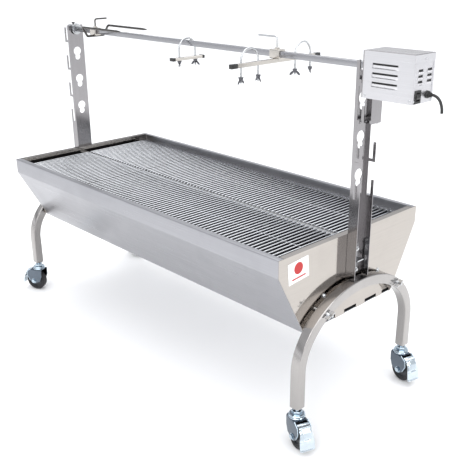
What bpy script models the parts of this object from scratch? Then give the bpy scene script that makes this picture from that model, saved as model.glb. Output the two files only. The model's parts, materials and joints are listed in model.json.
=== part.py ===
"""Charcoal spit roaster: a folded sheet trough with grates, on two arched legs with casters.

Two channel posts carry a square spit. A gear motor in a louvred casing hooks onto the right post.
Metres, +Z up, +X towards the motor, -Y towards the cook. The origin is on the floor, below the
middle of the object's box.
"""

import math

import bmesh
import bpy
import numpy as np
from mathutils import Matrix, Vector

# Overall
CENTRE_SHIFT = -0.0529          # the trough's middle, along X from the origin
GAP = 0.0004                    # clearance between neighbours that touch
SHEET = 0.0015                  # trough sheet

# Trough
TROUGH_LENGTH = 1.3350
TROUGH_WIDTH = 0.600
RIM_Z = 0.557
BAND_HEIGHT = 0.050             # upright part below the rim
FLOOR_Z = 0.314
FLOOR_WIDTH = 0.392
FLANGE = 0.018                  # rim folded inwards
NOTCHES = ((-0.095, 0.054), (0.0, 0.054), (0.095, 0.054), (0.168, 0.034))  # middle, width
NOTCH_HEIGHT = 0.013

# Grates
GRATE_TOP = 0.5355
GRATE_THICKNESS = 0.007
GRATE_PITCH = 0.016
GRATE_SLOT = 0.008
GRATE_DIVISION = -0.281         # where the left grates end, along X
LEDGE = 0.032
LEDGE_DROP = 0.014

# Arched legs, square tube
TUBE = 0.030
ARCH_HALF_SPAN = 0.245
ARCH_SPRING_Z = 0.223
ARCH_CROWN_Z = 0.410            # on the tube's centreline
LEG_END_Z = 0.120
ARCH_X = 0.6935                 # centre plane
ARCH_BOLTS = (-0.150, 0.165)    # along Y, on the tube's centreline

# Posts, folded channel open outwards
WEB_X = 0.6700
POST_SHEET = 0.002
POST_WIDTH = 0.061
POST_DEPTH = 0.031
POST_TOP = 1.018
POST_BOTTOM = ARCH_CROWN_Z + TUBE / 2 + GAP
SPIT_Z = 1.004
LEVEL_PITCH = 0.1025            # between the heights the spit can hang at
LEVELS = 4
POST_BOLTS = (0.508, 0.446)     # heights
KEYHOLE_RADIUS = 0.016
KEYHOLE_LOBE = 0.011
KEYHOLE_OFFSET = 0.021          # big hole's centre above the lobe's
SLOT_IN = 0.0105                # from the web to the hook slot
SLOT_WIDTH = 0.0120
SLOT_FOOT = 0.040               # slot's foot below the spit's height
SLOT_MOUTH = 0.006              # mouth's lower edge above the spit's height
MOUTH_HEIGHT = 0.049

# Spit and what slides on it
SPIT = 0.016
SPIT_LEFT = -0.722
SPIT_RIGHT = 0.708
COLLAR = 0.026
BORE = SPIT + 2 * GAP
JOURNAL_X = -0.684
JOURNAL_RADIUS = 0.015
ROD = 0.008
FORK_X = -0.536
FORK_REACH = 0.236
SPINE_X = -0.020
SPINE_LEGS = 0.033
SPINE_PLATE_Z = 0.9565
SPINE_PLATE = (0.020, 0.130, 0.010)
LEG_BAR_X = 0.3705
LEG_BAR_HALF = 0.180
LEG_BAR = 0.012
LEG_BOLT_Y = 0.108
U_ROD = 0.006
HANDLE_ROD = 0.006

# Motor
CASE_LEFT = 0.7180
CASE_SIZE = (0.142, 0.083, 0.113)
CASE_Y = -0.0250
CASE_Z = 0.9360
GEARBOX_Z = 0.991
CASE_SHEET = 0.0012
SWITCH = (-0.0470, 0.9530)      # y, z
GLAND = (-0.0050, 0.9540)       # y, z
ROCKER_TILT = math.radians(8)
HOOK_PIN = 0.0045

# Casters
WHEEL_RADIUS = 0.040
WHEEL_WIDTH = 0.028
TRAIL = 0.016
AXLE = 0.004
HEAD_Z = 0.0950                 # middle of the swivel head
CHEEK_Y = 0.020
PEDAL_PIVOT = (0.034, 0.0830)   # along the trail, height
PEDAL_WIDTH = 0.036             # of the arm between the cheeks
PEDAL_PLATE_WIDTH = 0.046
CASTERS = {                     # leg's side along X and Y, and the way the wheel trails, in degrees
    "fl": (-1, -1, 205.0),
    "bl": (-1, 1, 165.0),
    "fr": (1, -1, -20.0),
    "br": (1, 1, -14.0),
}

STEEL = ("satin_steel", (0.62, 0.62, 0.61), 0.32, 1.0)
BRIGHT = ("bright_steel", (0.72, 0.72, 0.72), 0.18, 1.0)
ZINC = ("zinc_plate", (0.58, 0.62, 0.66), 0.25, 1.0)
PAINTED = ("pale_casing", (0.74, 0.73, 0.73), 0.45, 0.3)
BLACK = ("black_plastic", (0.02, 0.02, 0.02), 0.45, 0.0)
RUBBER = ("black_rubber", (0.015, 0.015, 0.016), 0.7, 0.0)


def clear_scene():
    for obj in list(bpy.data.objects):
        bpy.data.objects.remove(obj, do_unlink=True)


def collection(name):
    made = bpy.data.collections.new(name)
    bpy.context.scene.collection.children.link(made)
    return made


def material(name, finish):
    _, colour, roughness, metallic = finish
    made = bpy.data.materials.new(name)
    made.use_nodes = True
    shader = made.node_tree.nodes["Principled BSDF"]
    shader.inputs["Base Color"].default_value = (*colour, 1.0)
    shader.inputs["Roughness"].default_value = roughness
    shader.inputs["Metallic"].default_value = metallic
    made.diffuse_color = (*colour, 1.0)
    return made


class Shop:
    """The collections the parts and the cutters go in, and the empty that all parts hang from."""

    def __init__(self):
        clear_scene()
        self.parts = collection("spit_roaster")
        self.cutters = collection("cutters")
        self.cutters.hide_render = True
        self.base = self.empty("trough_middle", (CENTRE_SHIFT, 0, 0), None)

    def empty(self, name, place, parent):
        made = bpy.data.objects.new(name, None)
        made.location = place
        made.parent = parent
        self.parts.objects.link(made)
        return made

    def part(self, name, mesh, finish, place=(0, 0, 0), turn=(0, 0, 0), parent=None):
        """Links a mesh as a finished part with its own material."""
        made = bpy.data.objects.new(name, mesh)
        made.location = place
        made.rotation_euler = turn
        made.parent = parent or self.base
        made.data.materials.clear()
        made.data.materials.append(material(name, finish))
        made.data.shade_smooth()
        made.data.set_sharp_from_angle(angle=math.radians(35))
        self.parts.objects.link(made)
        return made

    def tool(self, mesh, owner):
        """Links a mesh as an unseen cutter or addition, in its owner's own space."""
        made = bpy.data.objects.new(owner.name + "_tool", mesh)
        made.parent = owner
        made.hide_render = True
        made.display_type = "WIRE"
        self.cutters.objects.link(made)
        return made

    def boolean(self, owner, mesh, operation):
        change = owner.modifiers.new(operation.lower(), "BOOLEAN")
        change.operation = operation
        change.solver = "EXACT"
        change.object = self.tool(mesh, owner)

    def cut(self, owner, mesh):
        self.boolean(owner, mesh, "DIFFERENCE")

    def join(self, owner, mesh):
        self.boolean(owner, mesh, "UNION")


def mesh_from(bm, name):
    mesh = bpy.data.meshes.new(name)
    bm.to_mesh(mesh)
    bm.free()
    return mesh


def block(size, centre=(0, 0, 0), name="block"):
    bm = bmesh.new()
    bmesh.ops.create_cube(bm, size=1.0, matrix=Matrix.LocRotScale(Vector(centre), None, Vector(size)))
    return mesh_from(bm, name)


def span(low, high, name="block"):
    """A box between two opposite corners, given in any order."""
    pairs = [sorted(pair) for pair in zip(low, high)]
    low, high = Vector([pair[0] for pair in pairs]), Vector([pair[1] for pair in pairs])
    return block(high - low, (low + high) / 2, name)


TURNS = {"x": Matrix.Rotation(math.pi / 2, 4, "Y"), "y": Matrix.Rotation(-math.pi / 2, 4, "X"),
         "z": Matrix.Identity(4)}


def rod(radius, length, axis="z", centre=(0, 0, 0), sides=12, top_radius=None, name="rod"):
    """A cylinder, or a cone where top_radius is given, along an axis."""
    bm = bmesh.new()
    bmesh.ops.create_cone(
        bm, cap_ends=True, segments=sides, radius1=radius,
        radius2=radius if top_radius is None else top_radius, depth=length,
        matrix=Matrix.Translation(centre) @ TURNS[axis],
    )
    return mesh_from(bm, name)


def merged(*meshes, name="merged"):
    """Several meshes as one, left as separate bodies: a set of cutters, or additions that do not meet."""
    bm = bmesh.new()
    for mesh in meshes:
        bm.from_mesh(mesh)
    return mesh_from(bm, name)


def shifted(mesh, offset=(0, 0, 0), turn=0.0, axis="Z"):
    mesh.transform(Matrix.Translation(offset) @ Matrix.Rotation(turn, 4, axis))
    return mesh


def curve_mesh(curve, name):
    """The evaluated mesh of a curve, with its caps welded to its sides."""
    holder = bpy.data.objects.new(name, curve)
    bpy.context.scene.collection.objects.link(holder)
    graph = bpy.context.evaluated_depsgraph_get()
    mesh = bpy.data.meshes.new_from_object(holder.evaluated_get(graph))
    bpy.data.objects.remove(holder, do_unlink=True)
    bm = bmesh.new()
    bm.from_mesh(mesh)
    bmesh.ops.remove_doubles(bm, verts=bm.verts, dist=0.000001)
    bmesh.ops.recalc_face_normals(bm, faces=bm.faces)
    return mesh_from(bm, name)


def outline(loops, thickness, plane="yz", name="plate"):
    """A flat plate from closed loops, the first its edge and the others its holes."""
    curve = bpy.data.curves.new(name, "CURVE")
    curve.dimensions = "2D"
    curve.fill_mode = "BOTH"
    curve.extrude = thickness / 2
    for loop in loops:
        spline = curve.splines.new("POLY")
        spline.points.add(len(loop) - 1)
        for point, (u, v) in zip(spline.points, loop):
            point.co = (u, v, 0, 1)
        spline.use_cyclic_u = True
    mesh = curve_mesh(curve, name)
    stand = {"yz": Matrix(((0, 0, 1), (1, 0, 0), (0, 1, 0))), "xz": Matrix(((1, 0, 0), (0, 0, -1), (0, 1, 0))),
             "xy": Matrix.Identity(3)}
    mesh.transform(stand[plane].to_4x4())
    return mesh


def wire(points, diameter, name="wire", resolution=1):
    """A round rod along a path."""
    curve = bpy.data.curves.new(name, "CURVE")
    curve.dimensions = "3D"
    curve.bevel_depth = diameter / 2
    curve.bevel_resolution = resolution
    curve.use_fill_caps = True
    spline = curve.splines.new("POLY")
    spline.points.add(len(points) - 1)
    for point, place in zip(spline.points, points):
        point.co = (*place, 1)
    return curve_mesh(curve, name)


def rounded(points, radius, steps=3):
    """A path with its inner corners swapped for arcs."""
    path = [Vector(points[0])]
    for before, corner, after in zip(points, points[1:], points[2:]):
        corner = Vector(corner)
        back = (Vector(before) - corner).normalized()
        ahead = (Vector(after) - corner).normalized()
        half = back.angle(ahead) / 2
        centre = corner + (back + ahead).normalized() * radius / math.sin(half)
        first = corner + back * radius / math.tan(half) - centre
        last = corner + ahead * radius / math.tan(half) - centre
        for step in range(steps + 1):
            path.append(centre + first.slerp(last, step / steps).normalized() * radius)
    path.append(Vector(points[-1]))
    return path


def arc(centre, radius, start, end, steps):
    """Points on a circle's arc, from one angle to another, in degrees."""
    angles = np.radians(np.linspace(start, end, steps + 1))
    return [(centre[0] + radius * math.cos(a), centre[1] + radius * math.sin(a)) for a in angles]


def rect(u0, v0, u1, v1):
    return [(u0, v0), (u1, v0), (u1, v1), (u0, v1)]


# Trough ---------------------------------------------------------------------------------------


def trough(shop):
    """The folded front, floor and back, one sheet with its rims turned in."""
    half, floor, band = TROUGH_WIDTH / 2, FLOOR_WIDTH / 2, RIM_Z - BAND_HEIGHT
    outer = [(-half + FLANGE, RIM_Z), (-half, RIM_Z), (-half, band), (-floor, FLOOR_Z)]
    outer += [(-y, z) for y, z in reversed(outer)]
    curve = bpy.data.curves.new("trough_sheet", "CURVE")
    curve.dimensions = "3D"
    curve.extrude = TROUGH_LENGTH / 2
    spline = curve.splines.new("POLY")
    spline.points.add(len(outer) - 1)
    for point, (y, z) in zip(spline.points, outer):
        point.co = (y, z, 0, 1)
    mesh = curve_mesh(curve, "trough_sheet")
    mesh.transform(Matrix(((0, 0, 1), (1, 0, 0), (0, 1, 0))).to_4x4())
    bm = bmesh.new()
    bm.from_mesh(mesh)
    low = min(bm.faces, key=lambda face: face.calc_center_median().z)
    if low.normal.z > 0:
        bmesh.ops.reverse_faces(bm, faces=bm.faces)
    made = shop.part("trough_sheet", mesh_from(bm, "trough_sheet"), STEEL)
    wall = made.modifiers.new("wall", "SOLIDIFY")
    wall.thickness = SHEET
    wall.offset = -1
    wall.use_even_offset = True


def arch_bolt_places():
    """Where the arch's bolts sit, as y and z on its half-ellipse."""
    rise = ARCH_CROWN_Z - ARCH_SPRING_Z
    return [(y, ARCH_SPRING_Z + rise * math.sqrt(1 - (y / ARCH_HALF_SPAN) ** 2)) for y in ARCH_BOLTS]


def end_panel(shop, side, name):
    """A flat end with a turned-in rim and air notches in its lower edge."""
    half, floor, band = TROUGH_WIDTH / 2, FLOOR_WIDTH / 2, RIM_Z - BAND_HEIGHT
    edge = [(-half, RIM_Z), (-half, band), (-floor, FLOOR_Z), (floor, FLOOR_Z), (half, band), (half, RIM_Z)]
    x = side * (TROUGH_LENGTH / 2 + GAP + SHEET / 2)
    made = shop.part(name, outline([edge], SHEET), STEEL, (x, 0, 0))
    inside = half - SHEET - GAP
    lip = span((-side * FLANGE, -inside + FLANGE, RIM_Z - SHEET), (0, inside - FLANGE, RIM_Z - 0.0001))
    shop.join(made, lip)
    holes = [rod(0.0050, 0.02, "x", (0, y, z), 8) for y, z in arch_bolt_places()]
    holes += [rod(0.0045, 0.02, "x", (0, 0, z), 8) for z in POST_BOLTS]
    holes += [block((0.02, width, 2 * NOTCH_HEIGHT), (0, y, FLOOR_Z)) for y, width in NOTCHES]
    shop.cut(made, merged(*holes))


def ledges(shop):
    """Angles along the front and back walls, and the rail under the grates' meeting ends."""
    under = GRATE_TOP - GRATE_THICKNESS - GAP
    length = TROUGH_LENGTH - 2 * GAP
    wall = TROUGH_WIDTH / 2 - SHEET - GAP
    for name, side in (("grate_ledge_front", -1), ("grate_ledge_back", 1)):
        corner = [(0, 0), (LEDGE, 0), (LEDGE, -SHEET), (SHEET, -SHEET), (SHEET, -LEDGE_DROP), (0, -LEDGE_DROP)]
        loop = [(-side * y, z) for y, z in corner]
        shop.part(name, outline([loop], length), STEEL, (0, side * wall, under))
    shop.part("grate_rail", block((length, 0.022, 0.010)), STEEL, (0, 0, under - 0.005))


def grate(shop, name, x_low, x_high, side):
    """One lift-out grate: bars across the trough, tied together at both ends."""
    depth_low = 0.0035
    depth_high = TROUGH_WIDTH / 2 - FLANGE - 0.0008
    y_low, y_high = sorted((side * depth_low, side * depth_high))
    mid_x, mid_y = (x_low + x_high) / 2, (y_low + y_high) / 2
    half_x, half_y = (x_high - x_low) / 2, (y_high - y_low) / 2
    slots = int((2 * half_x - GRATE_SLOT) / GRATE_PITCH)
    loops = [rect(-half_x, -half_y, half_x, half_y)]
    for index in range(slots):
        u = (index - (slots - 1) / 2) * GRATE_PITCH
        loops.append(rect(u - GRATE_SLOT / 2, -half_y + 0.010, u + GRATE_SLOT / 2, half_y - 0.010))
    place = (mid_x, mid_y, GRATE_TOP - GRATE_THICKNESS / 2)
    shop.part(name, outline(loops, GRATE_THICKNESS, "xy"), BRIGHT, place)


def grates(shop):
    edge = TROUGH_LENGTH / 2 - FLANGE - 0.0008
    for row, side in (("front", -1), ("back", 1)):
        grate(shop, f"grate_{row}_left", -edge, GRATE_DIVISION - 0.0015, side)
        grate(shop, f"grate_{row}_right", GRATE_DIVISION + 0.0015, edge, side)


# Legs and posts -------------------------------------------------------------------------------


def arch_edge(offset, steps=18):
    """Half-ellipse and upright legs, moved out or in from the centreline, front to back."""
    a, b = ARCH_HALF_SPAN, ARCH_CROWN_Z - ARCH_SPRING_Z
    line = [(-a - offset, LEG_END_Z)]
    for angle in np.linspace(math.pi, 0, steps + 1):
        c, s = math.cos(angle), math.sin(angle)
        normal = Vector((c / a, s / b)).normalized()
        line.append((a * c + normal.x * offset, ARCH_SPRING_Z + b * s + normal.y * offset))
    line.append((a + offset, LEG_END_Z))
    return line


def arch(shop, side, name):
    loop = arch_edge(TUBE / 2) + arch_edge(-TUBE / 2)[::-1]
    made = shop.part(name, outline([loop], TUBE), STEEL, (side * ARCH_X, 0, 0))
    shop.cut(made, merged(*[rod(0.0050, 0.05, "x", (0, y, z), 8) for y, z in arch_bolt_places()]))


def arch_bolt(shop, side, y, z, name):
    """Bolt through tube, spacer and end panel, with a wing nut at its outer end."""
    inner, outer = TROUGH_LENGTH / 2 + GAP, ARCH_X + TUBE / 2
    made = shop.part(name, rod(0.0038, outer - inner + 0.026, "x", ((outer - inner + 0.010) / 2, 0, 0), 8),
                     BRIGHT, (side * inner, y, z), (0, 0, 0 if side > 0 else math.pi))
    panel = SHEET + GAP
    spacer = ARCH_X - TUBE / 2 - inner
    shop.join(made, rod(0.0075, 0.004, "x", (-0.0024, 0, 0), 6))
    shop.join(made, rod(0.0070, spacer - panel - GAP, "x", ((spacer + panel - GAP) / 2, 0, 0), 10))
    shop.join(made, rod(0.0070, 0.008, "x", (outer - inner + GAP + 0.004, 0, 0), 10, 0.0050))
    shop.join(made, shifted(block((0.012, 0.030, 0.0030)), (outer - inner + 0.009, 0, 0), math.radians(25), "X"))


def post(shop, side, name):
    """A channel with spit holes in its web and hook slots in both flanges."""
    height = POST_TOP - POST_BOTTOM
    middle = (POST_TOP + POST_BOTTOM) / 2
    half = POST_WIDTH / 2
    bend = [(0, -half), (POST_DEPTH, -half), (POST_DEPTH, -half + POST_SHEET), (POST_SHEET, -half + POST_SHEET)]
    loop = bend + [(x, -y) for x, y in reversed(bend)]
    if side < 0:
        loop = [(-x, y) for x, y in loop]
    made = shop.part(name, outline([loop], height, "xy"), STEEL, (side * WEB_X, 0, middle))
    web, lobes, slots = [], [], []
    for level in range(LEVELS):
        z = SPIT_Z - level * LEVEL_PITCH - middle
        if level == 0:
            radius = JOURNAL_RADIUS + 0.0006
            lobes.append(rod(radius, 0.02, "x", (0, 0, z), 20))
            web.append(block((0.02, 2 * radius, 0.05), (0, 0, z + 0.025)))
        else:
            lobes.append(rod(KEYHOLE_LOBE, 0.02, "x", (0, 0, z), 20))
            web.append(rod(KEYHOLE_RADIUS, 0.02, "x", (0, 0, z + KEYHOLE_OFFSET), 24))
        slot_x = side * (SLOT_IN + SLOT_WIDTH / 2)
        rise = SLOT_FOOT + SLOT_MOUTH
        slots.append(block((SLOT_WIDTH, 0.1, rise), (slot_x, 0, z - SLOT_FOOT + rise / 2)))
        mouth_low = z - SLOT_FOOT + rise - 0.0005
        mouth = (POST_DEPTH - SLOT_IN) + 0.01
        slots.append(block((mouth, 0.11, MOUTH_HEIGHT),
                           (side * (SLOT_IN + mouth / 2), 0, mouth_low + MOUTH_HEIGHT / 2)))
    shop.cut(made, merged(*lobes))
    shop.cut(made, merged(*web))
    shop.cut(made, merged(*slots[0::2]))
    shop.cut(made, merged(*slots[1::2]))
    shop.cut(made, merged(*[rod(0.0045, 0.02, "x", (0, 0, z - middle), 8) for z in POST_BOLTS]))


def post_bolts(shop, side, name):
    """Bolts through the web and the end panel, joined outside by their angle plate."""
    inner = TROUGH_LENGTH / 2 + GAP
    face = WEB_X + POST_SHEET + GAP
    turn = (0, 0, 0 if side > 0 else math.pi)
    low, high = POST_BOLTS[1] - 0.014, POST_BOLTS[0] + 0.014
    plate = span((face - inner, -0.013, low), (face - inner + 0.004, 0.013, high))
    made = shop.part(name, plate, BRIGHT, (side * inner, 0, 0), turn)
    for z in POST_BOLTS:
        shop.join(made, rod(0.0037, 0.024, "x", (0.0055, 0, z), 8))
        shop.join(made, rod(0.0075, 0.005, "x", (-0.0029, 0, z), 6))
        shop.join(made, rod(0.0075, 0.006, "x", (face - inner + 0.0069, 0, z), 6))
    shelf = block((0.020, 0.026, 0.003), (face - inner + 0.0128, 0, sum(POST_BOLTS) / 2))
    shop.join(made, shelf)


# Spit ------------------------------------------------------------------------------------------


def wing_nut_mesh():
    """A small cone with two wings and a bore, its top at the origin."""
    return (rod(0.0046, 0.009, "z", (0, 0, -0.0045), 10, 0.0070), block((0.0030, 0.026, 0.010), (0, 0, -0.0115)))


def wing_nut(shop, name, place, turn, parent):
    body, wings = wing_nut_mesh()
    made = shop.part(name, body, BRIGHT, place, (0, 0, turn), parent)
    shop.join(made, wings)
    shop.cut(made, rod(U_ROD / 2 + 0.0003, 0.06, "z", (0, 0, 0), 8))


def u_bolt_path(half, crown, foot, steps=10):
    """Two upright legs joined by a half circle that rests on crown."""
    middle = crown - half + U_ROD / 2
    path = [(0, -half, foot)]
    path += [(0, y, z) for y, z in arc((0, middle), half, 180, 0, steps)]
    path.append((0, half, foot))
    return path


def spit(shop):
    """The square shaft on the axis that it turns about."""
    length = SPIT_RIGHT - SPIT_LEFT
    axis = shop.empty("spit_axis", (0, 0, SPIT_Z), shop.base)
    shop.part("spit_shaft", block((length, SPIT, SPIT), ((SPIT_LEFT + SPIT_RIGHT) / 2, 0, 0)), STEEL, parent=axis)
    journal = shop.part("spit_journal", rod(JOURNAL_RADIUS, 0.052, "x", (0, 0, 0), 20), BRIGHT,
                        (JOURNAL_X, 0, 0), parent=axis)
    flange = rod(JOURNAL_RADIUS + 0.005, 0.004, "x", (0.020, 0, 0), 20)
    shop.join(journal, flange)
    shop.cut(journal, block((0.1, BORE, BORE)))
    shop.cut(journal, rod(0.0034, 0.03, "z", (0, 0, 0.02), 8))
    screw = shop.part("journal_screw", rod(0.0030, 0.0120, "z", (0, 0, 0.0060), 8), BLACK,
                      (JOURNAL_X, 0, SPIT / 2 + GAP), parent=axis)
    shop.join(screw, rod(0.0060, 0.0050, "z", (0, 0, 0.0132), 12))
    return axis


def collar_mesh(length):
    return block((length, COLLAR, COLLAR))


def handle_screw(shop, name, place, top, reach, parent):
    """A bent rod that screws down onto the shaft: place is the shaft's top, reach the handle's way."""
    path = rounded([(0, 0, 0), (0, 0, top), (reach[0], reach[1], top)], 0.008)
    shop.part(name, wire(path, HANDLE_ROD), BRIGHT, place, parent=parent)


def fork(shop, axis):
    """A collar with a bent rod below it whose two ends run along the spit as prongs."""
    holder = shop.empty("fork_axis", (FORK_X, 0, 0), axis)
    made = shop.part("fork", collar_mesh(0.036), STEEL, parent=holder)
    reach, wide, narrow, high, low = FORK_REACH, 0.055, 0.035, 0.018, -COLLAR / 2 - ROD / 2 + 0.0012
    path = [(reach, -wide, high), (0, -wide, high), (0, -narrow, low),
            (0, narrow, low), (0, wide, high), (reach, wide, high)]
    shop.join(made, wire(rounded(path, 0.007), ROD))
    shop.cut(made, block((0.1, BORE, BORE)))
    shop.cut(made, rod(HANDLE_ROD / 2 + 0.0004, 0.02, "z", (0, 0, 0.015), 8))
    handle_screw(shop, "fork_screw", (0, 0, SPIT / 2 + GAP), 0.035, (0, 0.050), holder)


def spine_clamp(shop, axis):
    """A U-bolt over the shaft that draws a plate up against the spine."""
    holder = shop.empty("spine_axis", (SPINE_X, 0, 0), axis)
    crown = SPIT / 2 + GAP
    plate_z = SPINE_PLATE_Z - SPIT_Z
    foot = plate_z - 0.024
    shop.part("spine_u_bolt", wire(u_bolt_path(SPINE_LEGS, crown + U_ROD / 2, foot), U_ROD), BRIGHT, parent=holder)
    plate = shop.part("spine_plate", block(SPINE_PLATE), STEEL, (0, 0, plate_z), parent=holder)
    holes = [rod(U_ROD / 2 + 0.0004, 0.02, "z", (0, y, 0), 8) for y in (-SPINE_LEGS, SPINE_LEGS)]
    shop.cut(plate, merged(*holes))
    for name, y, turn in (("spine_wing_nut_a", -SPINE_LEGS, 0.7), ("spine_wing_nut_b", SPINE_LEGS, 1.9)):
        wing_nut(shop, name, (0, y, plate_z - SPINE_PLATE[2] / 2 - GAP), turn, holder)


def leg_bracket(shop, axis):
    """A collar on a square cross bar, with a U-bolt and two wing nuts for each leg."""
    holder = shop.empty("leg_bracket_axis", (LEG_BAR_X, 0, 0), axis)
    made = shop.part("leg_bar", collar_mesh(0.037), STEEL, parent=holder)
    bar_z = -COLLAR / 2 - LEG_BAR / 2 + 0.001
    shop.join(made, block((LEG_BAR, 2 * LEG_BAR_HALF, LEG_BAR), (0, 0, bar_z)))
    shop.cut(made, block((0.1, BORE, BORE)))
    legs = [side * LEG_BOLT_Y + step for side in (-1, 1) for step in (-SPINE_LEGS, SPINE_LEGS)]
    shop.cut(made, merged(*[rod(U_ROD / 2 + 0.0004, 0.04, "z", (0, y, bar_z), 8) for y in legs]))
    shop.cut(made, rod(HANDLE_ROD / 2 + 0.0004, 0.02, "z", (0, 0, 0.015), 8))
    handle_screw(shop, "leg_bar_screw", (0, 0, SPIT / 2 + GAP), 0.038, (-0.072, 0), holder)
    foot, crown = -0.066, 0.022
    for name, y in (("leg_u_bolt_front", -LEG_BOLT_Y), ("leg_u_bolt_back", LEG_BOLT_Y)):
        shop.part(name, wire(u_bolt_path(SPINE_LEGS, crown, foot), U_ROD), BRIGHT, (0, y, 0), parent=holder)
    for letter, y, turn in zip("abcd", legs, (0.2, 1.3, 2.2, 0.9)):
        wing_nut(shop, f"leg_wing_nut_{letter}", (0, y, foot + 0.017), turn, holder)


# Motor ------------------------------------------------------------------------------------------


def hook_plate(shop):
    """The casing's inner wall, with two cross pins that hang in the post's slots."""
    x = CASE_LEFT - GAP - 0.00125
    y, z = CASE_Y, CASE_Z + CASE_SIZE[2] / 2
    plate = block((0.0025, CASE_SIZE[1], CASE_SIZE[2]), (0, y, 0))
    made = shop.part("hook_plate", plate, STEEL, (x, 0, z))
    pin_x = WEB_X + SLOT_IN + SLOT_WIDTH / 2 - x
    tail = span((-0.0012, -0.020, SPIT_Z - LEVEL_PITCH - SLOT_FOOT - z), (0.00125, 0.020, CASE_Z + 0.005 - z))
    shop.join(made, tail)
    for level in (0, 1):
        pin_z = SPIT_Z - level * LEVEL_PITCH - SLOT_FOOT + HOOK_PIN + GAP - z
        shop.join(made, block((0.001 - pin_x, 0.036, 0.008), ((pin_x + 0.001) / 2, 0, pin_z)))
        shop.join(made, rod(HOOK_PIN, 0.070, "y", (pin_x, 0, pin_z), 12))
    shop.cut(made, rod(0.0150, 0.02, "x", (0, 0, SPIT_Z - z), 20))


def louvre_slots():
    """Openings of the casing: three long ones front and back, six short ones, switch and gland."""
    length, depth, height = CASE_SIZE
    tools = []
    for z in (0.084, 0.062, 0.040):
        tools.append(block((0.072, 2 * depth, 0.004), (0.062, 0, z)))
    for y in (-0.040, -0.003):
        for z in (0.077, 0.064, 0.051):
            tools.append(block((0.02, 0.018, 0.005), (length, y - CASE_Y, z)))
    tools.append(block((0.02, 0.0206, 0.0256), (length, SWITCH[0] - CASE_Y, SWITCH[1] - CASE_Z)))
    tools.append(rod(0.0074, 0.02, "x", (length, GLAND[0] - CASE_Y, GLAND[1] - CASE_Z), 12))
    return tools


def casing(shop):
    """A five-sided sheet box, open towards the post."""
    length, depth, height = CASE_SIZE
    bm = bmesh.new()
    size = Matrix.LocRotScale(Vector((length / 2, 0, height / 2)), None, Vector(CASE_SIZE))
    bmesh.ops.create_cube(bm, size=1.0, matrix=size)
    bmesh.ops.delete(bm, geom=[f for f in bm.faces if f.normal.x < -0.5], context="FACES")
    made = shop.part("motor_casing", mesh_from(bm, "motor_casing"), PAINTED, (CASE_LEFT, CASE_Y, CASE_Z))
    wall = made.modifiers.new("wall", "SOLIDIFY")
    wall.thickness = CASE_SHEET
    wall.offset = -1
    wall.use_even_offset = True
    tools = louvre_slots()
    shop.cut(made, merged(*tools))


def gear_motor(shop):
    """Gearbox block on the hook plate with the motor can behind it."""
    x = CASE_LEFT + GAP
    made = shop.part("gear_motor", block((0.034, 0.060, 0.062), (0.017, 0, 0)), ZINC, (x, CASE_Y, GEARBOX_Z))
    shop.join(made, rod(0.023, 0.064, "x", (0.060, 0, -0.002), 20))
    shop.cut(made, rod(0.0144, 0.030, "x", (0.006, -CASE_Y, SPIT_Z - GEARBOX_Z), 16))


def drive_socket(shop):
    """The turning socket that the spit's square end sits in."""
    x_low, x_high = 0.6905, 0.7380
    middle = (x_low + x_high) / 2
    made = shop.part("drive_socket", rod(0.0138, x_high - x_low, "x", (0, 0, 0), 16), BRIGHT, (middle, 0, SPIT_Z))
    depth = SPIT_RIGHT + 0.001 - x_low
    shop.cut(made, block((2 * depth, BORE, BORE), (x_low - middle, 0, 0)))


def switch(shop):
    """A rocker in its bezel, on the casing's end."""
    face = CASE_LEFT + CASE_SIZE[0]
    y, z = SWITCH
    bezel = shop.part("switch_bezel", block((0.0016, 0.0250, 0.0300), (GAP + 0.0008, 0, 0)), BLACK, (face, y, z))
    shop.join(bezel, block((0.0120, 0.0196, 0.0246), (-0.0050, 0, 0)))
    shop.cut(bezel, block((0.0200, 0.0150, 0.0200), (0.0030, 0, 0)))
    rocker = shop.part("switch_rocker", rod(0.0096, 0.0140, "y", (0, 0, 0), 16), BLACK,
                       (face - 0.0054, y, z), (0, ROCKER_TILT, 0))
    shop.cut(rocker, span((-0.02, -0.02, -0.02), (0.0015, 0.02, 0.02)))


def gland(shop):
    """The strain relief that the supply lead comes out of."""
    face = CASE_LEFT + CASE_SIZE[0]
    y, z = GLAND
    made = shop.part("cord_gland", rod(0.0090, 0.004, "x", (GAP + 0.002, 0, 0), 16), BLACK, (face, y, z))
    shop.join(made, rod(0.0066, 0.012, "x", (-0.0045, 0, 0), 12))
    shop.join(made, rod(0.0066, 0.008, "x", (0.0078, 0, 0), 12, 0.0055))
    return face + 0.0118, y, z


CORD = 0.0070
CORD_ROUTE = (                  # from the gland's mouth, along X and down
    (0.0005, 0.0, 0.0), (0.0065, 0.0, -0.0003), (0.0150, 0.0005, -0.0038), (0.0220, 0.0010, -0.0105),
    (0.0265, 0.0015, -0.0195), (0.0290, 0.0020, -0.0290), (0.0300, 0.0020, -0.0400),
)


def smooth_path(points, count):
    """Evenly numbered points on the Catmull-Rom curve through the route's points."""
    ends = [2 * np.array(points[0]) - np.array(points[1]), 2 * np.array(points[-1]) - np.array(points[-2])]
    knots = np.array([ends[0], *points, ends[1]])
    places = []
    for position in np.linspace(0, len(points) - 1, count):
        index = min(int(position), len(points) - 2)
        t = position - index
        a, b, c, d = knots[index:index + 4]
        places.append(0.5 * (2 * b + (c - a) * t + (2 * a - 5 * b + 4 * c - d) * t ** 2
                             + (3 * b - a - 3 * c + d) * t ** 3))
    return places


def supply_cord(shop, mouth):
    """The lead's stub below the gland."""
    path = smooth_path(CORD_ROUTE, 11)
    shop.part("supply_cord", wire(path, CORD, resolution=2), BLACK, mouth)


# Casters ----------------------------------------------------------------------------------------


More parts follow.
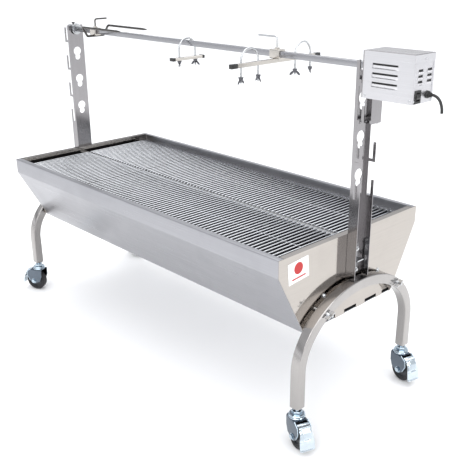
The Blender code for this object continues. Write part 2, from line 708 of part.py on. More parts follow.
def caster_fork_mesh(shop, name, parent):
    """Kingpin, swivel head, cheeks and axle."""
    top = LEG_END_Z - GAP
    stem = HEAD_Z + 0.0060
    made = shop.part(name, rod(0.023, 0.014, "z", (0, 0, HEAD_Z), 20), ZINC, parent=parent)
    shop.join(made, rod(0.0095, top - stem, "z", (0, 0, (top + stem) / 2), 6))
    cheek = [(-0.022, 0.0910), (0.026, 0.0910), (0.043, 0.0800), (0.046, 0.0610), (0.034, 0.0400),
             (0.022, 0.0290), (0.009, 0.0290), (-0.012, 0.0400), (-0.021, 0.0600)]
    for side in (-1, 1):
        plate = outline([cheek], 0.0025, "xz")
        shop.join(made, shifted(plate, (0, side * CHEEK_Y, 0)))
    shop.join(made, block((0.044, 2 * CHEEK_Y - 0.001, 0.003), (0.0, 0, 0.0895)))
    shop.join(made, rod(AXLE, 0.052, "y", (TRAIL, 0, WHEEL_RADIUS), 10))
    return made


def wheel_mesh():
    """Turned tyre and hub with a bore, as a closed profile swept round the axle."""
    half, bore, r = WHEEL_WIDTH / 2, AXLE + 0.0004, WHEEL_RADIUS
    profile = [(bore, half + 0.001), (0.012, half + 0.001), (0.014, half - 0.004), (0.028, half - 0.004),
               (0.030, half), (r - 0.004, half), (r, half - 0.005)]
    profile += [(x, -y) for x, y in reversed(profile)]
    steps = 28
    bm = bmesh.new()
    rows = [[bm.verts.new((x * math.cos(a), y, x * math.sin(a))) for x, y in profile]
            for a in np.linspace(0, 2 * math.pi, steps, endpoint=False)]
    for row, following in zip(rows, rows[1:] + rows[:1]):
        for index in range(len(profile)):
            after = (index + 1) % len(profile)
            bm.faces.new((row[index], row[after], following[after], following[index]))
    bmesh.ops.recalc_face_normals(bm, faces=bm.faces)
    return mesh_from(bm, "wheel")


def pedal_mesh():
    """An arm between the cheeks that widens into a plate over the wheel's trailing side."""
    arm = [(0.034, 0.0862), (0.0475, 0.0843), (0.0500, 0.0812), (0.0470, 0.0805), (0.034, 0.0832)]
    outer = [(0.0470, 0.0845), (0.0580, 0.0725), (0.0640, 0.0560), (0.0670, 0.0400), (0.0690, 0.0240)]
    inner = [(0.0660, 0.0238), (0.0640, 0.0396), (0.0610, 0.0552), (0.0553, 0.0707), (0.0450, 0.0822)]
    return outline([arm], PEDAL_WIDTH, "xz", "pedal"), outline([outer + inner], PEDAL_PLATE_WIDTH, "xz", "plate")


def caster(shop, key, side_x, side_y, heading):
    """A braked swivel caster: the swivel empty is on the kingpin's axis."""
    place = (side_x * ARCH_X, side_y * ARCH_HALF_SPAN, 0)
    pivot = shop.empty(f"caster_axis_{key}", place, shop.base)
    pivot.rotation_euler = (0, 0, math.radians(heading))
    caster_fork_mesh(shop, f"caster_fork_{key}", pivot)
    shop.part(f"caster_wheel_{key}", wheel_mesh(), RUBBER, (TRAIL, 0, WHEEL_RADIUS), parent=pivot)
    hinge = (PEDAL_PIVOT[0], 0, PEDAL_PIVOT[1])
    arm, plate = (shifted(mesh, (-hinge[0], 0, -hinge[2])) for mesh in pedal_mesh())
    pedal = shop.part(f"brake_pedal_{key}", arm, ZINC, hinge, parent=pivot)
    shop.join(pedal, plate)
    shop.join(pedal, rod(0.0045, PEDAL_WIDTH - 0.0004, "y", (0, 0, 0), 10))


def main():
    shop = Shop()
    trough(shop)
    ledges(shop)
    grates(shop)
    for side, word in ((-1, "left"), (1, "right")):
        end_panel(shop, side, f"end_panel_{word}")
        arch(shop, side, f"leg_arch_{word}")
        post(shop, side, f"post_{word}")
        post_bolts(shop, side, f"post_bolts_{word}")
        for (y, z), end in zip(arch_bolt_places(), ("front", "back")):
            arch_bolt(shop, side, y, z, f"arch_bolt_{word}_{end}")
    axis = spit(shop)
    fork(shop, axis)
    spine_clamp(shop, axis)
    leg_bracket(shop, axis)
    hook_plate(shop)
    casing(shop)
    gear_motor(shop)
    drive_socket(shop)
    switch(shop)
    mouth = gland(shop)
    supply_cord(shop, mouth)
    for key, (side_x, side_y, heading) in CASTERS.items():
        caster(shop, key, side_x, side_y, heading)


main()
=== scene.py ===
import json
import logging
import math
from dataclasses import dataclass, field
from enum import Enum

import bpy
import numpy as np
from mathutils import Matrix, Vector


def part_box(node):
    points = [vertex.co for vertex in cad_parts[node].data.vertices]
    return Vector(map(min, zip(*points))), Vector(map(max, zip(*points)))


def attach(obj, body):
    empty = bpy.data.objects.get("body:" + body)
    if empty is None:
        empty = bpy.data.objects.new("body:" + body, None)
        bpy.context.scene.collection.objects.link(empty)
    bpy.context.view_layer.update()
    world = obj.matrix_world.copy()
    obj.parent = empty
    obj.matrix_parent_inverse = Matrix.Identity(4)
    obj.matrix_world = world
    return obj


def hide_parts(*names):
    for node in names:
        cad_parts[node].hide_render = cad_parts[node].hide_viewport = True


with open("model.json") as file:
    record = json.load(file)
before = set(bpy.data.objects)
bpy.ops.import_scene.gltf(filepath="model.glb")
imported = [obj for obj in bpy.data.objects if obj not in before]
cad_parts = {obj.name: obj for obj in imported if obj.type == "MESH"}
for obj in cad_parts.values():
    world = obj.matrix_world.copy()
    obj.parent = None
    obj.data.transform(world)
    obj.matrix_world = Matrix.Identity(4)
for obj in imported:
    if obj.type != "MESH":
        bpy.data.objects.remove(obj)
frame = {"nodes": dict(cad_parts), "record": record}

log = logging.getLogger("spit_roaster")
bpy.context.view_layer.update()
SHEET = 0.0015
ASLANT = (0.31, 0.17, 0.04)  # a direction that no threaded rod runs along
FORK_ASLANT = (0.53, 0.31, 0.79)  # a direction that the fork's rod never runs along


# Surfaces ----------------------------------------------------------------------------------------


@dataclass
class Surface:
    """A surface of four-cornered faces, with whole-face caps on some of its rims."""

    points: np.ndarray
    quads: np.ndarray
    rims: list[np.ndarray] = field(default_factory=list)

    def volume(self) -> float:
        """Signed volume: the sum of the tetrahedra from the origin to each face.

        Returns:
            The volume, negative where the faces point in.
        """
        fans = [self.quads[:, [0, 1, 2]], self.quads[:, [0, 2, 3]]]
        fans += [np.stack([np.full(len(r) - 2, r[0]), r[1:-1], r[2:]], 1) for r in self.rims]
        a, b, c = (self.points[np.concatenate(fans)[:, k]] for k in range(3))
        return float(np.einsum("ij,ij->", a, np.cross(b, c)) / 6)

    def outward(self) -> "Surface":
        """The same surface with its faces pointing out.

        Returns:
            This surface, or one with every face turned over.
        """
        if self.volume() >= 0:
            return self
        return Surface(self.points, self.quads[:, ::-1], [rim[::-1] for rim in self.rims])

    def moved(self, matrix: Matrix) -> "Surface":
        """The surface carried by a 4x4 matrix."""
        m = np.array(matrix)
        return Surface(self.points @ m[:3, :3].T + m[:3, 3], self.quads, self.rims).outward()

    def shifted(self, x: float = 0.0, y: float = 0.0, z: float = 0.0) -> "Surface":
        """The surface moved along the axes."""
        return self.moved(Matrix.Translation((x, y, z)))


def joined(*surfaces: Surface) -> Surface:
    """Several surfaces as one, each still its own shell.

    Args:
        surfaces: the shells to put together.
    Returns:
        One surface that holds them all.
    """
    starts = np.cumsum([0] + [len(s.points) for s in surfaces[:-1]])
    quads = [s.quads + start for s, start in zip(surfaces, starts)]
    rims = [rim + start for s, start in zip(surfaces, starts) for rim in s.rims]
    return Surface(np.concatenate([s.points for s in surfaces]), np.concatenate(quads), rims)


def grid_quads(rows: int, cols: int, closed: bool = False) -> np.ndarray:
    """Faces between rows of points that close on themselves: each joins a point to its next row and column.

    Args:
        rows: how many rows of points.
        cols: how many points in a row.
        closed: whether the last row meets the first.
    Returns:
        The corner numbers of each face.
    """
    a, b = np.meshgrid(np.arange(rows if closed else rows - 1), np.arange(cols), indexing="ij")
    a2, b2 = (a + 1) % rows, (b + 1) % cols
    return np.stack([a * cols + b, a2 * cols + b, a2 * cols + b2, a * cols + b2], -1).reshape(-1, 4)


def capped(rows: np.ndarray) -> Surface:
    """A closed surface through rows of points, with a cap on the first row and the last.

    Args:
        rows: the points, each row a closed loop.
    Returns:
        The surface.
    """
    count, length = rows.shape[:2]
    order = np.arange(count * length).reshape(count, length)
    return Surface(rows.reshape(-1, 3), grid_quads(count, length), [order[0][::-1], order[-1]]).outward()


def headings(line: np.ndarray) -> np.ndarray:
    """The way ahead at each point of a line, at length one.

    Args:
        line: the points.
    Returns:
        One direction for each point.
    """
    ahead = np.gradient(line, axis=0)
    return ahead / np.linalg.norm(ahead, axis=1, keepdims=True)


def turned(profile: np.ndarray, steps: int = 32, ripple: float = 0.0, waves: int = 0) -> Surface:
    """A profile turned about Z: x = r cos t, y = r sin t, with r (1 + ripple cos(waves t)).

    Args:
        profile: radius and height pairs, along the outline.
        steps: points round the turn.
        ripple: depth of the waves round it, as a share of the radius.
        waves: how many waves.
    Returns:
        The closed surface, with flat caps on its first and last rings.
    """
    profile = np.asarray(profile, float)
    t = np.linspace(0, 2 * np.pi, steps, endpoint=False)
    swell = 1 + ripple * np.cos(waves * t)
    r = profile[:, :1] * swell
    h = np.broadcast_to(profile[:, 1:], r.shape)
    return capped(np.stack([r * np.cos(t), r * np.sin(t), h], -1))


def ring_turned(profile: np.ndarray, steps: int = 48) -> Surface:
    """A closed profile turned about Z into a ring, with no caps.

    Args:
        profile: radius and height pairs round the closed section.
        steps: points round the turn.
    Returns:
        The closed ring.
    """
    profile = np.asarray(profile, float)
    t = np.linspace(0, 2 * np.pi, steps, endpoint=False)
    r = np.broadcast_to(profile[:, :1], (len(profile), steps))
    h = np.broadcast_to(profile[:, 1:], (len(profile), steps))
    points = np.stack([r * np.cos(t), r * np.sin(t), h], -1).reshape(-1, 3)
    return Surface(points, grid_quads(len(profile), steps, True)).outward()


def carried(profile: np.ndarray, path: np.ndarray, reference: tuple, closed: bool = False,
            scale: np.ndarray | None = None) -> Surface:
    """A closed profile carried along a path, kept square to it.

    Each section is path + u side + v up, where side = reference x ahead and up = ahead x side.

    Args:
        profile: u and v pairs round the section.
        path: the points that the section's origin follows.
        reference: a direction that the path never runs along.
        closed: whether the path meets itself.
        scale: the section's size at each point of the path.
    Returns:
        The closed surface, capped at both ends of an open path.
    """
    profile, path = np.asarray(profile, float), np.asarray(path, float)
    ahead = np.roll(path, -1, 0) - np.roll(path, 1, 0) if closed else np.gradient(path, axis=0)
    ahead /= np.linalg.norm(ahead, axis=1, keepdims=True)
    side = np.cross(np.asarray(reference, float), ahead)
    side /= np.linalg.norm(side, axis=1, keepdims=True)
    up = np.cross(ahead, side)
    size = np.ones(len(path)) if scale is None else scale
    offsets = profile[None, :, 0, None] * side[:, None] + profile[None, :, 1, None] * up[:, None]
    rows = path[:, None] + offsets * size[:, None, None]
    if closed:
        return Surface(rows.reshape(-1, 3), grid_quads(len(path), len(profile), True)).outward()
    return capped(rows)


def circle(radius: float, sides: int = 16) -> np.ndarray:
    """Points round a circle.

    Args:
        radius: the circle's radius.
        sides: how many points.
    Returns:
        The points.
    """
    t = np.linspace(0, 2 * np.pi, sides, endpoint=False)
    return radius * np.stack([np.cos(t), np.sin(t)], 1)


def soft_square(width: float, height: float, radius: float, steps: int = 4) -> np.ndarray:
    """A rectangle with round corners: each corner's arc is swung about its own centre.

    Args:
        width: size along u.
        height: size along v.
        radius: the corners' radius.
        steps: points along each corner.
    Returns:
        The points round it.
    """
    t = np.linspace(0, np.pi / 2, steps)[None] + np.arange(4)[:, None] * np.pi / 2
    corner = np.array([(1, 1), (-1, 1), (-1, -1), (1, -1)]) * [width / 2 - radius, height / 2 - radius]
    return (corner[:, None] + radius * np.stack([np.cos(t), np.sin(t)], -1)).reshape(-1, 2)


def rounded_path(points: list, radius: float, steps: int = 8) -> np.ndarray:
    """A path with its corners swapped for arcs that touch both sides.

    Args:
        points: the corners, first to last.
        radius: the arcs' radius.
        steps: points along each arc.
    Returns:
        The smooth path.
    """
    points = [Vector(p) for p in points]
    path = [points[0]]
    for before, corner, after in zip(points, points[1:], points[2:]):
        back, ahead = (before - corner).normalized(), (after - corner).normalized()
        half = back.angle(ahead) / 2
        centre = corner + (back + ahead).normalized() * radius / math.sin(half)
        first, last = (corner + way * radius / math.tan(half) - centre for way in (back, ahead))
        arc = (first.slerp(last, k / steps).normalized() * radius + centre for k in range(steps + 1))
        path.extend(arc)
    return np.array([*path, points[-1]])


def resampled(path: np.ndarray, spacing: float) -> np.ndarray:
    """The same path with evenly spaced points.

    Args:
        path: the points.
        spacing: about how far apart the new ones are.
    Returns:
        The new points.
    """
    s = np.concatenate([[0], np.cumsum(np.linalg.norm(np.diff(path, axis=0), axis=1))])
    even = np.linspace(0, s[-1], max(3, int(s[-1] / spacing)))
    return np.stack([np.interp(even, s, path[:, k]) for k in range(3)], 1)


def block(size: tuple, centre: tuple, radius: float = 0.0006) -> Surface:
    """A box with round upright edges and eased top and bottom, as a rounded rectangle carried up Z.

    Args:
        size: its size along each axis.
        centre: its middle.
        radius: its edges' radius.
    Returns:
        The closed box.
    """
    levels = np.array([-0.5, -0.5, 0.5, 0.5]) * size[2] + np.array([0, 1, -1, 0]) * radius * 0.6
    inset = np.array([1, 0, 0, 1]) * radius * 0.6
    rings = [np.column_stack([soft_square(size[0] - 2 * i, size[1] - 2 * i, radius), np.full(16, z)])
             for z, i in zip(levels, inset)]
    return capped(np.array(rings)).shifted(*centre)


def prism(radius: float, height: float, ease: float = 0.0006) -> Surface:
    """A nut: a six-sided column with eased ends, standing on the origin."""
    return turned([(radius - ease, 0), (radius, ease), (radius, height - ease), (radius - ease, height)], 6)


def lens(radii: tuple, rows: int = 10, cols: int = 16) -> Surface:
    """An ellipsoid: a half circle turned about Z, then stretched by its three radii.

    Args:
        radii: its size along each axis.
        rows: points along the half circle.
        cols: points round the turn.
    Returns:
        The closed ellipsoid.
    """
    t = np.linspace(-np.pi / 2 + 0.12, np.pi / 2 - 0.12, rows)
    return turned(np.stack([np.cos(t), np.sin(t)], 1), cols).moved(Matrix.Diagonal((*radii, 1)))


def standing(place: tuple, axis: tuple) -> Matrix:
    """The matrix that stands something made along Z at a place, along an axis."""
    return Matrix.Translation(place) @ Vector(axis).to_track_quat("Z", "Y").to_matrix().to_4x4()


# Finishes ----------------------------------------------------------------------------------------


class Grain(Enum):
    """How the noise is stretched for a brushed grain along one axis, or for none."""

    ALONG_X = (3.0, 420.0, 420.0)
    ALONG_Y = (420.0, 3.0, 420.0)
    ALONG_Z = (420.0, 420.0, 3.0)
    NONE = (60.0, 60.0, 60.0)


class Group(Enum):
    """The shared shader effects."""

    GRAIN = "brushed_grain"
    SMUDGES = "handling_smudges"
    WAVES = "sheet_waves"
    MOULD = "moulded_skin"


GROUP_RECIPE = {Group.GRAIN: (1.0, 6.0, 0.65), Group.SMUDGES: (7.0, 5.0, 0.6),
                Group.WAVES: (3.2, 1.0, 0.4), Group.MOULD: (900.0, 3.0, 0.5)}


def effect_group(kind: Group) -> bpy.types.NodeTree:
    """A noise effect with a contrast input, built once.

    Args:
        kind: which effect.
    Returns:
        The node group, with Vector, Low and High inputs and a Value output.
    """
    made = bpy.data.node_groups.get(kind.value)
    if made:
        return made
    made = bpy.data.node_groups.new(kind.value, "ShaderNodeTree")
    made.interface.new_socket("Vector", in_out="INPUT", socket_type="NodeSocketVector")
    for name, value in (("Low", 0.3), ("High", 0.7)):
        made.interface.new_socket(name, in_out="INPUT", socket_type="NodeSocketFloat").default_value = value
    made.interface.new_socket("Value", in_out="OUTPUT", socket_type="NodeSocketFloat")
    nodes, links = made.nodes, made.links
    source, sink = nodes.new("NodeGroupInput"), nodes.new("NodeGroupOutput")
    noise, ease = nodes.new("ShaderNodeTexNoise"), nodes.new("ShaderNodeMapRange")
    scale, detail, rough = GROUP_RECIPE[kind]
    noise.inputs["Scale"].default_value = scale
    noise.inputs["Detail"].default_value = detail
    noise.inputs["Roughness"].default_value = rough
    ease.interpolation_type = "SMOOTHSTEP"
    links.new(source.outputs["Vector"], noise.inputs["Vector"])
    links.new(noise.outputs["Fac"], ease.inputs["Value"])
    links.new(source.outputs["Low"], ease.inputs["From Min"])
    links.new(source.outputs["High"], ease.inputs["From Max"])
    links.new(ease.outputs["Result"], sink.inputs["Value"])
    return made


class Nodes:
    """A material's node tree, with short ways to add what the finishes share."""

    def __init__(self, name: str, roughness: float, metallic: float) -> None:
        """Starts a material with a Principled shader.

        Args:
            name: the material's name.
            roughness: the shader's roughness, until something is linked to it.
            metallic: 1 for metal, 0 for anything else.
        """
        self.material = bpy.data.materials.new(name)
        self.material.use_nodes = True
        self.tree = self.material.node_tree
        self.shader = self.tree.nodes["Principled BSDF"]
        self.shader.inputs["Roughness"].default_value = roughness
        self.shader.inputs["Metallic"].default_value = metallic
        self.place = self.tree.nodes.new("ShaderNodeTexCoord").outputs["Object"]

    def stretched(self, scale: tuple) -> bpy.types.NodeSocket:
        """The object's coordinates, scaled along each axis.

        Args:
            scale: the three factors.
        Returns:
            The scaled coordinates.
        """
        node = self.tree.nodes.new("ShaderNodeMapping")
        node.inputs["Scale"].default_value = scale
        self.tree.links.new(self.place, node.inputs["Vector"])
        return node.outputs["Vector"]

    def effect(self, kind: Group, vector: bpy.types.NodeSocket, low: float, high: float,
               ) -> bpy.types.NodeSocket:
        """A shared effect placed with its own contrast.

        Args:
            kind: which effect.
            vector: where it is read.
            low: the noise that gives 0.
            high: the noise that gives 1.
        Returns:
            The effect's value.
        """
        node = self.tree.nodes.new("ShaderNodeGroup")
        node.node_tree = effect_group(kind)
        node.inputs["Low"].default_value = low
        node.inputs["High"].default_value = high
        self.tree.links.new(vector, node.inputs["Vector"])
        return node.outputs["Value"]

    def ranged(self, value: bpy.types.NodeSocket, low: float, high: float) -> bpy.types.NodeSocket:
        """A 0 to 1 value mapped onto a range.

        Args:
            value: what is mapped.
            low: what 0 becomes.
            high: what 1 becomes.
        Returns:
            The mapped value.
        """
        node = self.tree.nodes.new("ShaderNodeMapRange")
        node.inputs["To Min"].default_value = low
        node.inputs["To Max"].default_value = high
        self.tree.links.new(value, node.inputs["Value"])
        return node.outputs["Result"]

    def added(self, a: bpy.types.NodeSocket, b: bpy.types.NodeSocket) -> bpy.types.NodeSocket:
        """The sum of two values.

        Args:
            a: one value.
            b: the other.
        Returns:
            Their sum.
        """
        node = self.tree.nodes.new("ShaderNodeMath")
        node.operation = "ADD"
        self.tree.links.new(a, node.inputs[0])
        self.tree.links.new(b, node.inputs[1])
        return node.outputs[0]

    def blended(self, amount: bpy.types.NodeSocket, first: tuple, second: tuple) -> bpy.types.NodeSocket:
        """A colour between two, by a 0 to 1 value.

        Args:
            amount: how much of the second.
            first: the colour at 0.
            second: the colour at 1.
        Returns:
            The colour.
        """
        node = self.tree.nodes.new("ShaderNodeMix")
        node.data_type = "RGBA"
        node.inputs["A"].default_value = (*first, 1)
        node.inputs["B"].default_value = (*second, 1)
        self.tree.links.new(amount, node.inputs["Factor"])
        return node.outputs["Result"]

    def bump(self, height: bpy.types.NodeSocket, distance: float, under: bpy.types.NodeSocket | None = None,
             ) -> bpy.types.NodeSocket:
        """A bumped normal, over another bump if there is one.

        Args:
            height: the bump's height.
            distance: how deep it looks, in metres.
            under: the bump below it.
        Returns:
            The normal.
        """
        node = self.tree.nodes.new("ShaderNodeBump")
        node.inputs["Distance"].default_value = distance
        self.tree.links.new(height, node.inputs["Height"])
        if under:
            self.tree.links.new(under, node.inputs["Normal"])
        return node.outputs["Normal"]

    def feed(self, socket: str, value: bpy.types.NodeSocket) -> None:
        """Links a value to the shader."""
        self.tree.links.new(value, self.shader.inputs[socket])


def shaded(colour: tuple, by: float) -> tuple:
    """A colour made darker or lighter."""
    return tuple(min(1.0, c * by) for c in colour)


@dataclass(frozen=True)
class Steel:
    """Bare or plated metal: brushed grain, faint handling marks and a sheet's slow waves."""

    name: str
    slot: str
    colour: tuple
    roughness: float
    grain: Grain = Grain.NONE
    depth: float = 0.00002
    smudge: float = 0.06
    waves: float = 0.0

    def build(self) -> bpy.types.Material:
        """The finish as nodes.

        Returns:
            The material.
        """
        n = Nodes(self.name, self.roughness, 1.0)
        grain = n.effect(Group.GRAIN, n.stretched(self.grain.value), 0.25, 0.75)
        marks = n.effect(Group.SMUDGES, n.place, 0.45, 0.75)
        mixed = n.ranged(n.added(grain, marks), 0.0, 0.5)
        tone = n.blended(mixed, shaded(self.colour, 1.04), shaded(self.colour, 0.88))
        n.feed("Base Color", tone)
        even = n.ranged(grain, self.roughness - 0.04, self.roughness + 0.05)
        n.feed("Roughness", n.added(even, n.ranged(marks, 0, self.smudge)))
        normal = None
        if self.waves:
            normal = n.bump(n.effect(Group.WAVES, n.place, 0.2, 0.8), self.waves)
        n.feed("Normal", n.bump(grain, self.depth, normal))
        return n.material


@dataclass(frozen=True)
class Moulded:
    """Moulded plastic or rubber: a fine skin, dusty in places."""

    name: str
    slot: str
    colour: tuple
    roughness: float
    dust: tuple = (0.18, 0.175, 0.17)
    dusty: float = 0.15

    def build(self) -> bpy.types.Material:
        """The finish as nodes.

        Returns:
            The material.
        """
        n = Nodes(self.name, self.roughness, 0.0)
        skin = n.effect(Group.MOULD, n.place, 0.3, 0.7)
        marks = n.effect(Group.SMUDGES, n.place, 0.4, 0.8)
        n.feed("Base Color", n.blended(n.ranged(marks, 0.0, self.dusty), self.colour, self.dust))
        n.feed("Roughness", n.added(n.ranged(skin, self.roughness - 0.05, self.roughness + 0.05),
                                    n.ranged(marks, 0.0, 0.12)))
        n.feed("Normal", n.bump(skin, 0.00004))
        return n.material


SHEET_STEEL = Steel("sheet_steel", "satin_steel", (0.36, 0.36, 0.38), 0.30, Grain.ALONG_X, 0.000004, 0.05,
                    0.0016)
RIM_STEEL = Steel("rim_steel", "satin_steel", (0.52, 0.515, 0.51), 0.26, Grain.ALONG_X, 0.000004, 0.05,
                  0.0008)
END_STEEL = Steel("end_sheet_steel", "satin_steel", (0.43, 0.40, 0.37), 0.08, Grain.ALONG_Y, 0.000002, 0.04,
                  0.0010)
POST_STEEL = Steel("post_steel", "satin_steel", (0.32, 0.31, 0.315), 0.16, Grain.ALONG_Z, 0.000004, 0.06,
                   0.0010)
TUBE_STEEL = Steel("leg_tube_steel", "satin_steel", (0.38, 0.365, 0.355), 0.17, Grain.ALONG_Z, 0.000004, 0.08)
BAR_STEEL = Steel("drawn_bar_steel", "bar_steel", (0.32, 0.32, 0.335), 0.18, Grain.ALONG_X, 0.000004, 0.08)
# Near-black colour of the polished fork rod and its screw handle: painted reflection of dark surroundings.
PRONG_PAINTED_REFLECTION = Steel("prong_painted_reflection_steel", "bar_steel", (0.09, 0.085, 0.08), 0.22, smudge=0.08)
CLAMP_STEEL = Steel("clamp_steel", "bar_steel", (0.56, 0.53, 0.49), 0.20, Grain.ALONG_Y, 0.000004, 0.08)
NUT_STEEL = Steel("wing_nut_steel", "bright_steel", (0.10, 0.10, 0.11), 0.16, smudge=0.05)
ROD_STEEL = Steel("grate_rod_steel", "bright_steel", (0.60, 0.61, 0.63), 0.22, Grain.ALONG_Y, 0.000004, 0.06)
# Near-black steel for the tray inside the trough: painted shade for the shadowed inside below the grates.
TROUGH_PAINTED_SHADE = Steel("trough_painted_shade_steel", "satin_steel", (0.022, 0.022, 0.025), 0.50, Grain.ALONG_X, 0.000004, 0.20)
BRIGHT = Steel("polished_steel", "bright_steel", (0.52, 0.53, 0.54), 0.12, smudge=0.05)
ZINC = Steel("bright_zinc", "zinc_plate", (0.50, 0.59, 0.66), 0.11, smudge=0.08)
# Lighter copy of the zinc for the brake pedal: painted reflection, for its near-white look.
PEDAL_PAINTED_REFLECTION = Steel("pedal_painted_reflection_zinc", "zinc_plate", (0.58, 0.65, 0.70), 0.16, smudge=0.06)
# Dark blue-grey copy of the zinc for the caster cheeks: painted reflection of dark surroundings.
YOKE_PAINTED_REFLECTION = Steel("yoke_painted_reflection_zinc", "zinc_plate", (0.13, 0.155, 0.185), 0.14, smudge=0.08)
CASING = Steel("casing_steel", "pale_casing", (0.60, 0.595, 0.61), 0.30, Grain.ALONG_X, 0.000004, 0.04)
# Dark copy of the pale casing steel for the casing's top: painted reflection.
CASING_TOP_PAINTED_REFLECTION = Steel("casing_top_painted_reflection_steel", "pale_casing", (0.20, 0.185, 0.185), 0.22, Grain.ALONG_X, 0.000004, 0.05)
PLASTIC = Moulded("black_plastic", "black_plastic", (0.008, 0.008, 0.008), 0.34)
LEAD = Moulded("lead_rubber", "supply_lead", (0.008, 0.008, 0.008), 0.36)
TYRE = Moulded("tyre_rubber", "wheel_rubber", (0.008, 0.008, 0.010), 0.55, (0.06, 0.06, 0.06), 0.30)
HUB = Moulded("hub_plastic", "wheel_rubber", (0.020, 0.023, 0.028), 0.40, (0.06, 0.06, 0.06), 0.25)
PAPER = Moulded("label_paper", "pale_casing", (0.84, 0.84, 0.83), 0.5, dusty=0.05)
INK = Moulded("label_red", "pale_casing", (0.45, 0.02, 0.02), 0.5, dusty=0.05)

_built: dict[str, bpy.types.Material] = {}


def material_of(finish: Steel | Moulded) -> bpy.types.Material:
    """The finish's material, built once.

    Args:
        finish: which finish.
    Returns:
        Its material.
    """
    if finish.name not in _built:
        _built[finish.name] = finish.build()
    return _built[finish.name]


def dress(nodes: list[str], finish: Steel | Moulded) -> None:
    """Gives carried-over CAD nodes a finish.

    Args:
        nodes: the nodes' names.
        finish: what they get.
    """
    for name in nodes:
        mesh = frame["nodes"][name].data
        mesh.materials.clear()
        mesh.materials.append(material_of(finish))
        log.info("dressed %s", name)


def piece(name: str, surface: Surface, finish: Steel | Moulded, body: str, *replaced: str,
          sharp: float = 38.0) -> bpy.types.Object:
    """Puts a surface into the scene as a finished piece that rides on a body.

    Args:
        name: the piece's name.
        surface: its shape, in the frame's own place.
        finish: its finish.
        body: the CAD body that it moves with.
        replaced: the CAD nodes that it stands for.
        sharp: edges over this angle, in degrees, stay sharp.
    Returns:
        The piece.
    """
    mesh = bpy.data.meshes.new(name)
    faces = surface.quads.tolist() + [rim.tolist() for rim in surface.rims]
    mesh.from_pydata(surface.points.tolist(), [], faces)
    mesh.shade_smooth()
    mesh.set_sharp_from_angle(angle=math.radians(sharp))
    mesh.materials.append(material_of(finish))
    made = bpy.data.objects.new(name, mesh)
    bpy.context.scene.collection.objects.link(made)
    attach(made, body)
    if replaced:
        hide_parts(*replaced)
    log.info("made %s: %d faces, on %s", name, len(faces), body)
    return made


def extent(node: str) -> tuple[Vector, Vector]:
    """The low and the high corner of a CAD node's box.

    Args:
        node: the node's name.
    Returns:
        Both corners.
    """
    low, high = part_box(node)
    return Vector(low), Vector(high)


def middle(node: str) -> Vector:
    """The middle of a CAD node's box.

    Args:
        node: the node's name.
    Returns:
        The middle.
    """
    low, high = extent(node)
    return (low + high) / 2


def joint(name: str) -> dict:
    """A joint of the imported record."""
    return next(j for j in frame["record"]["behaviour"]["joints"] if j["name"] == name)


# Studio ------------------------------------------------------------------------------------------


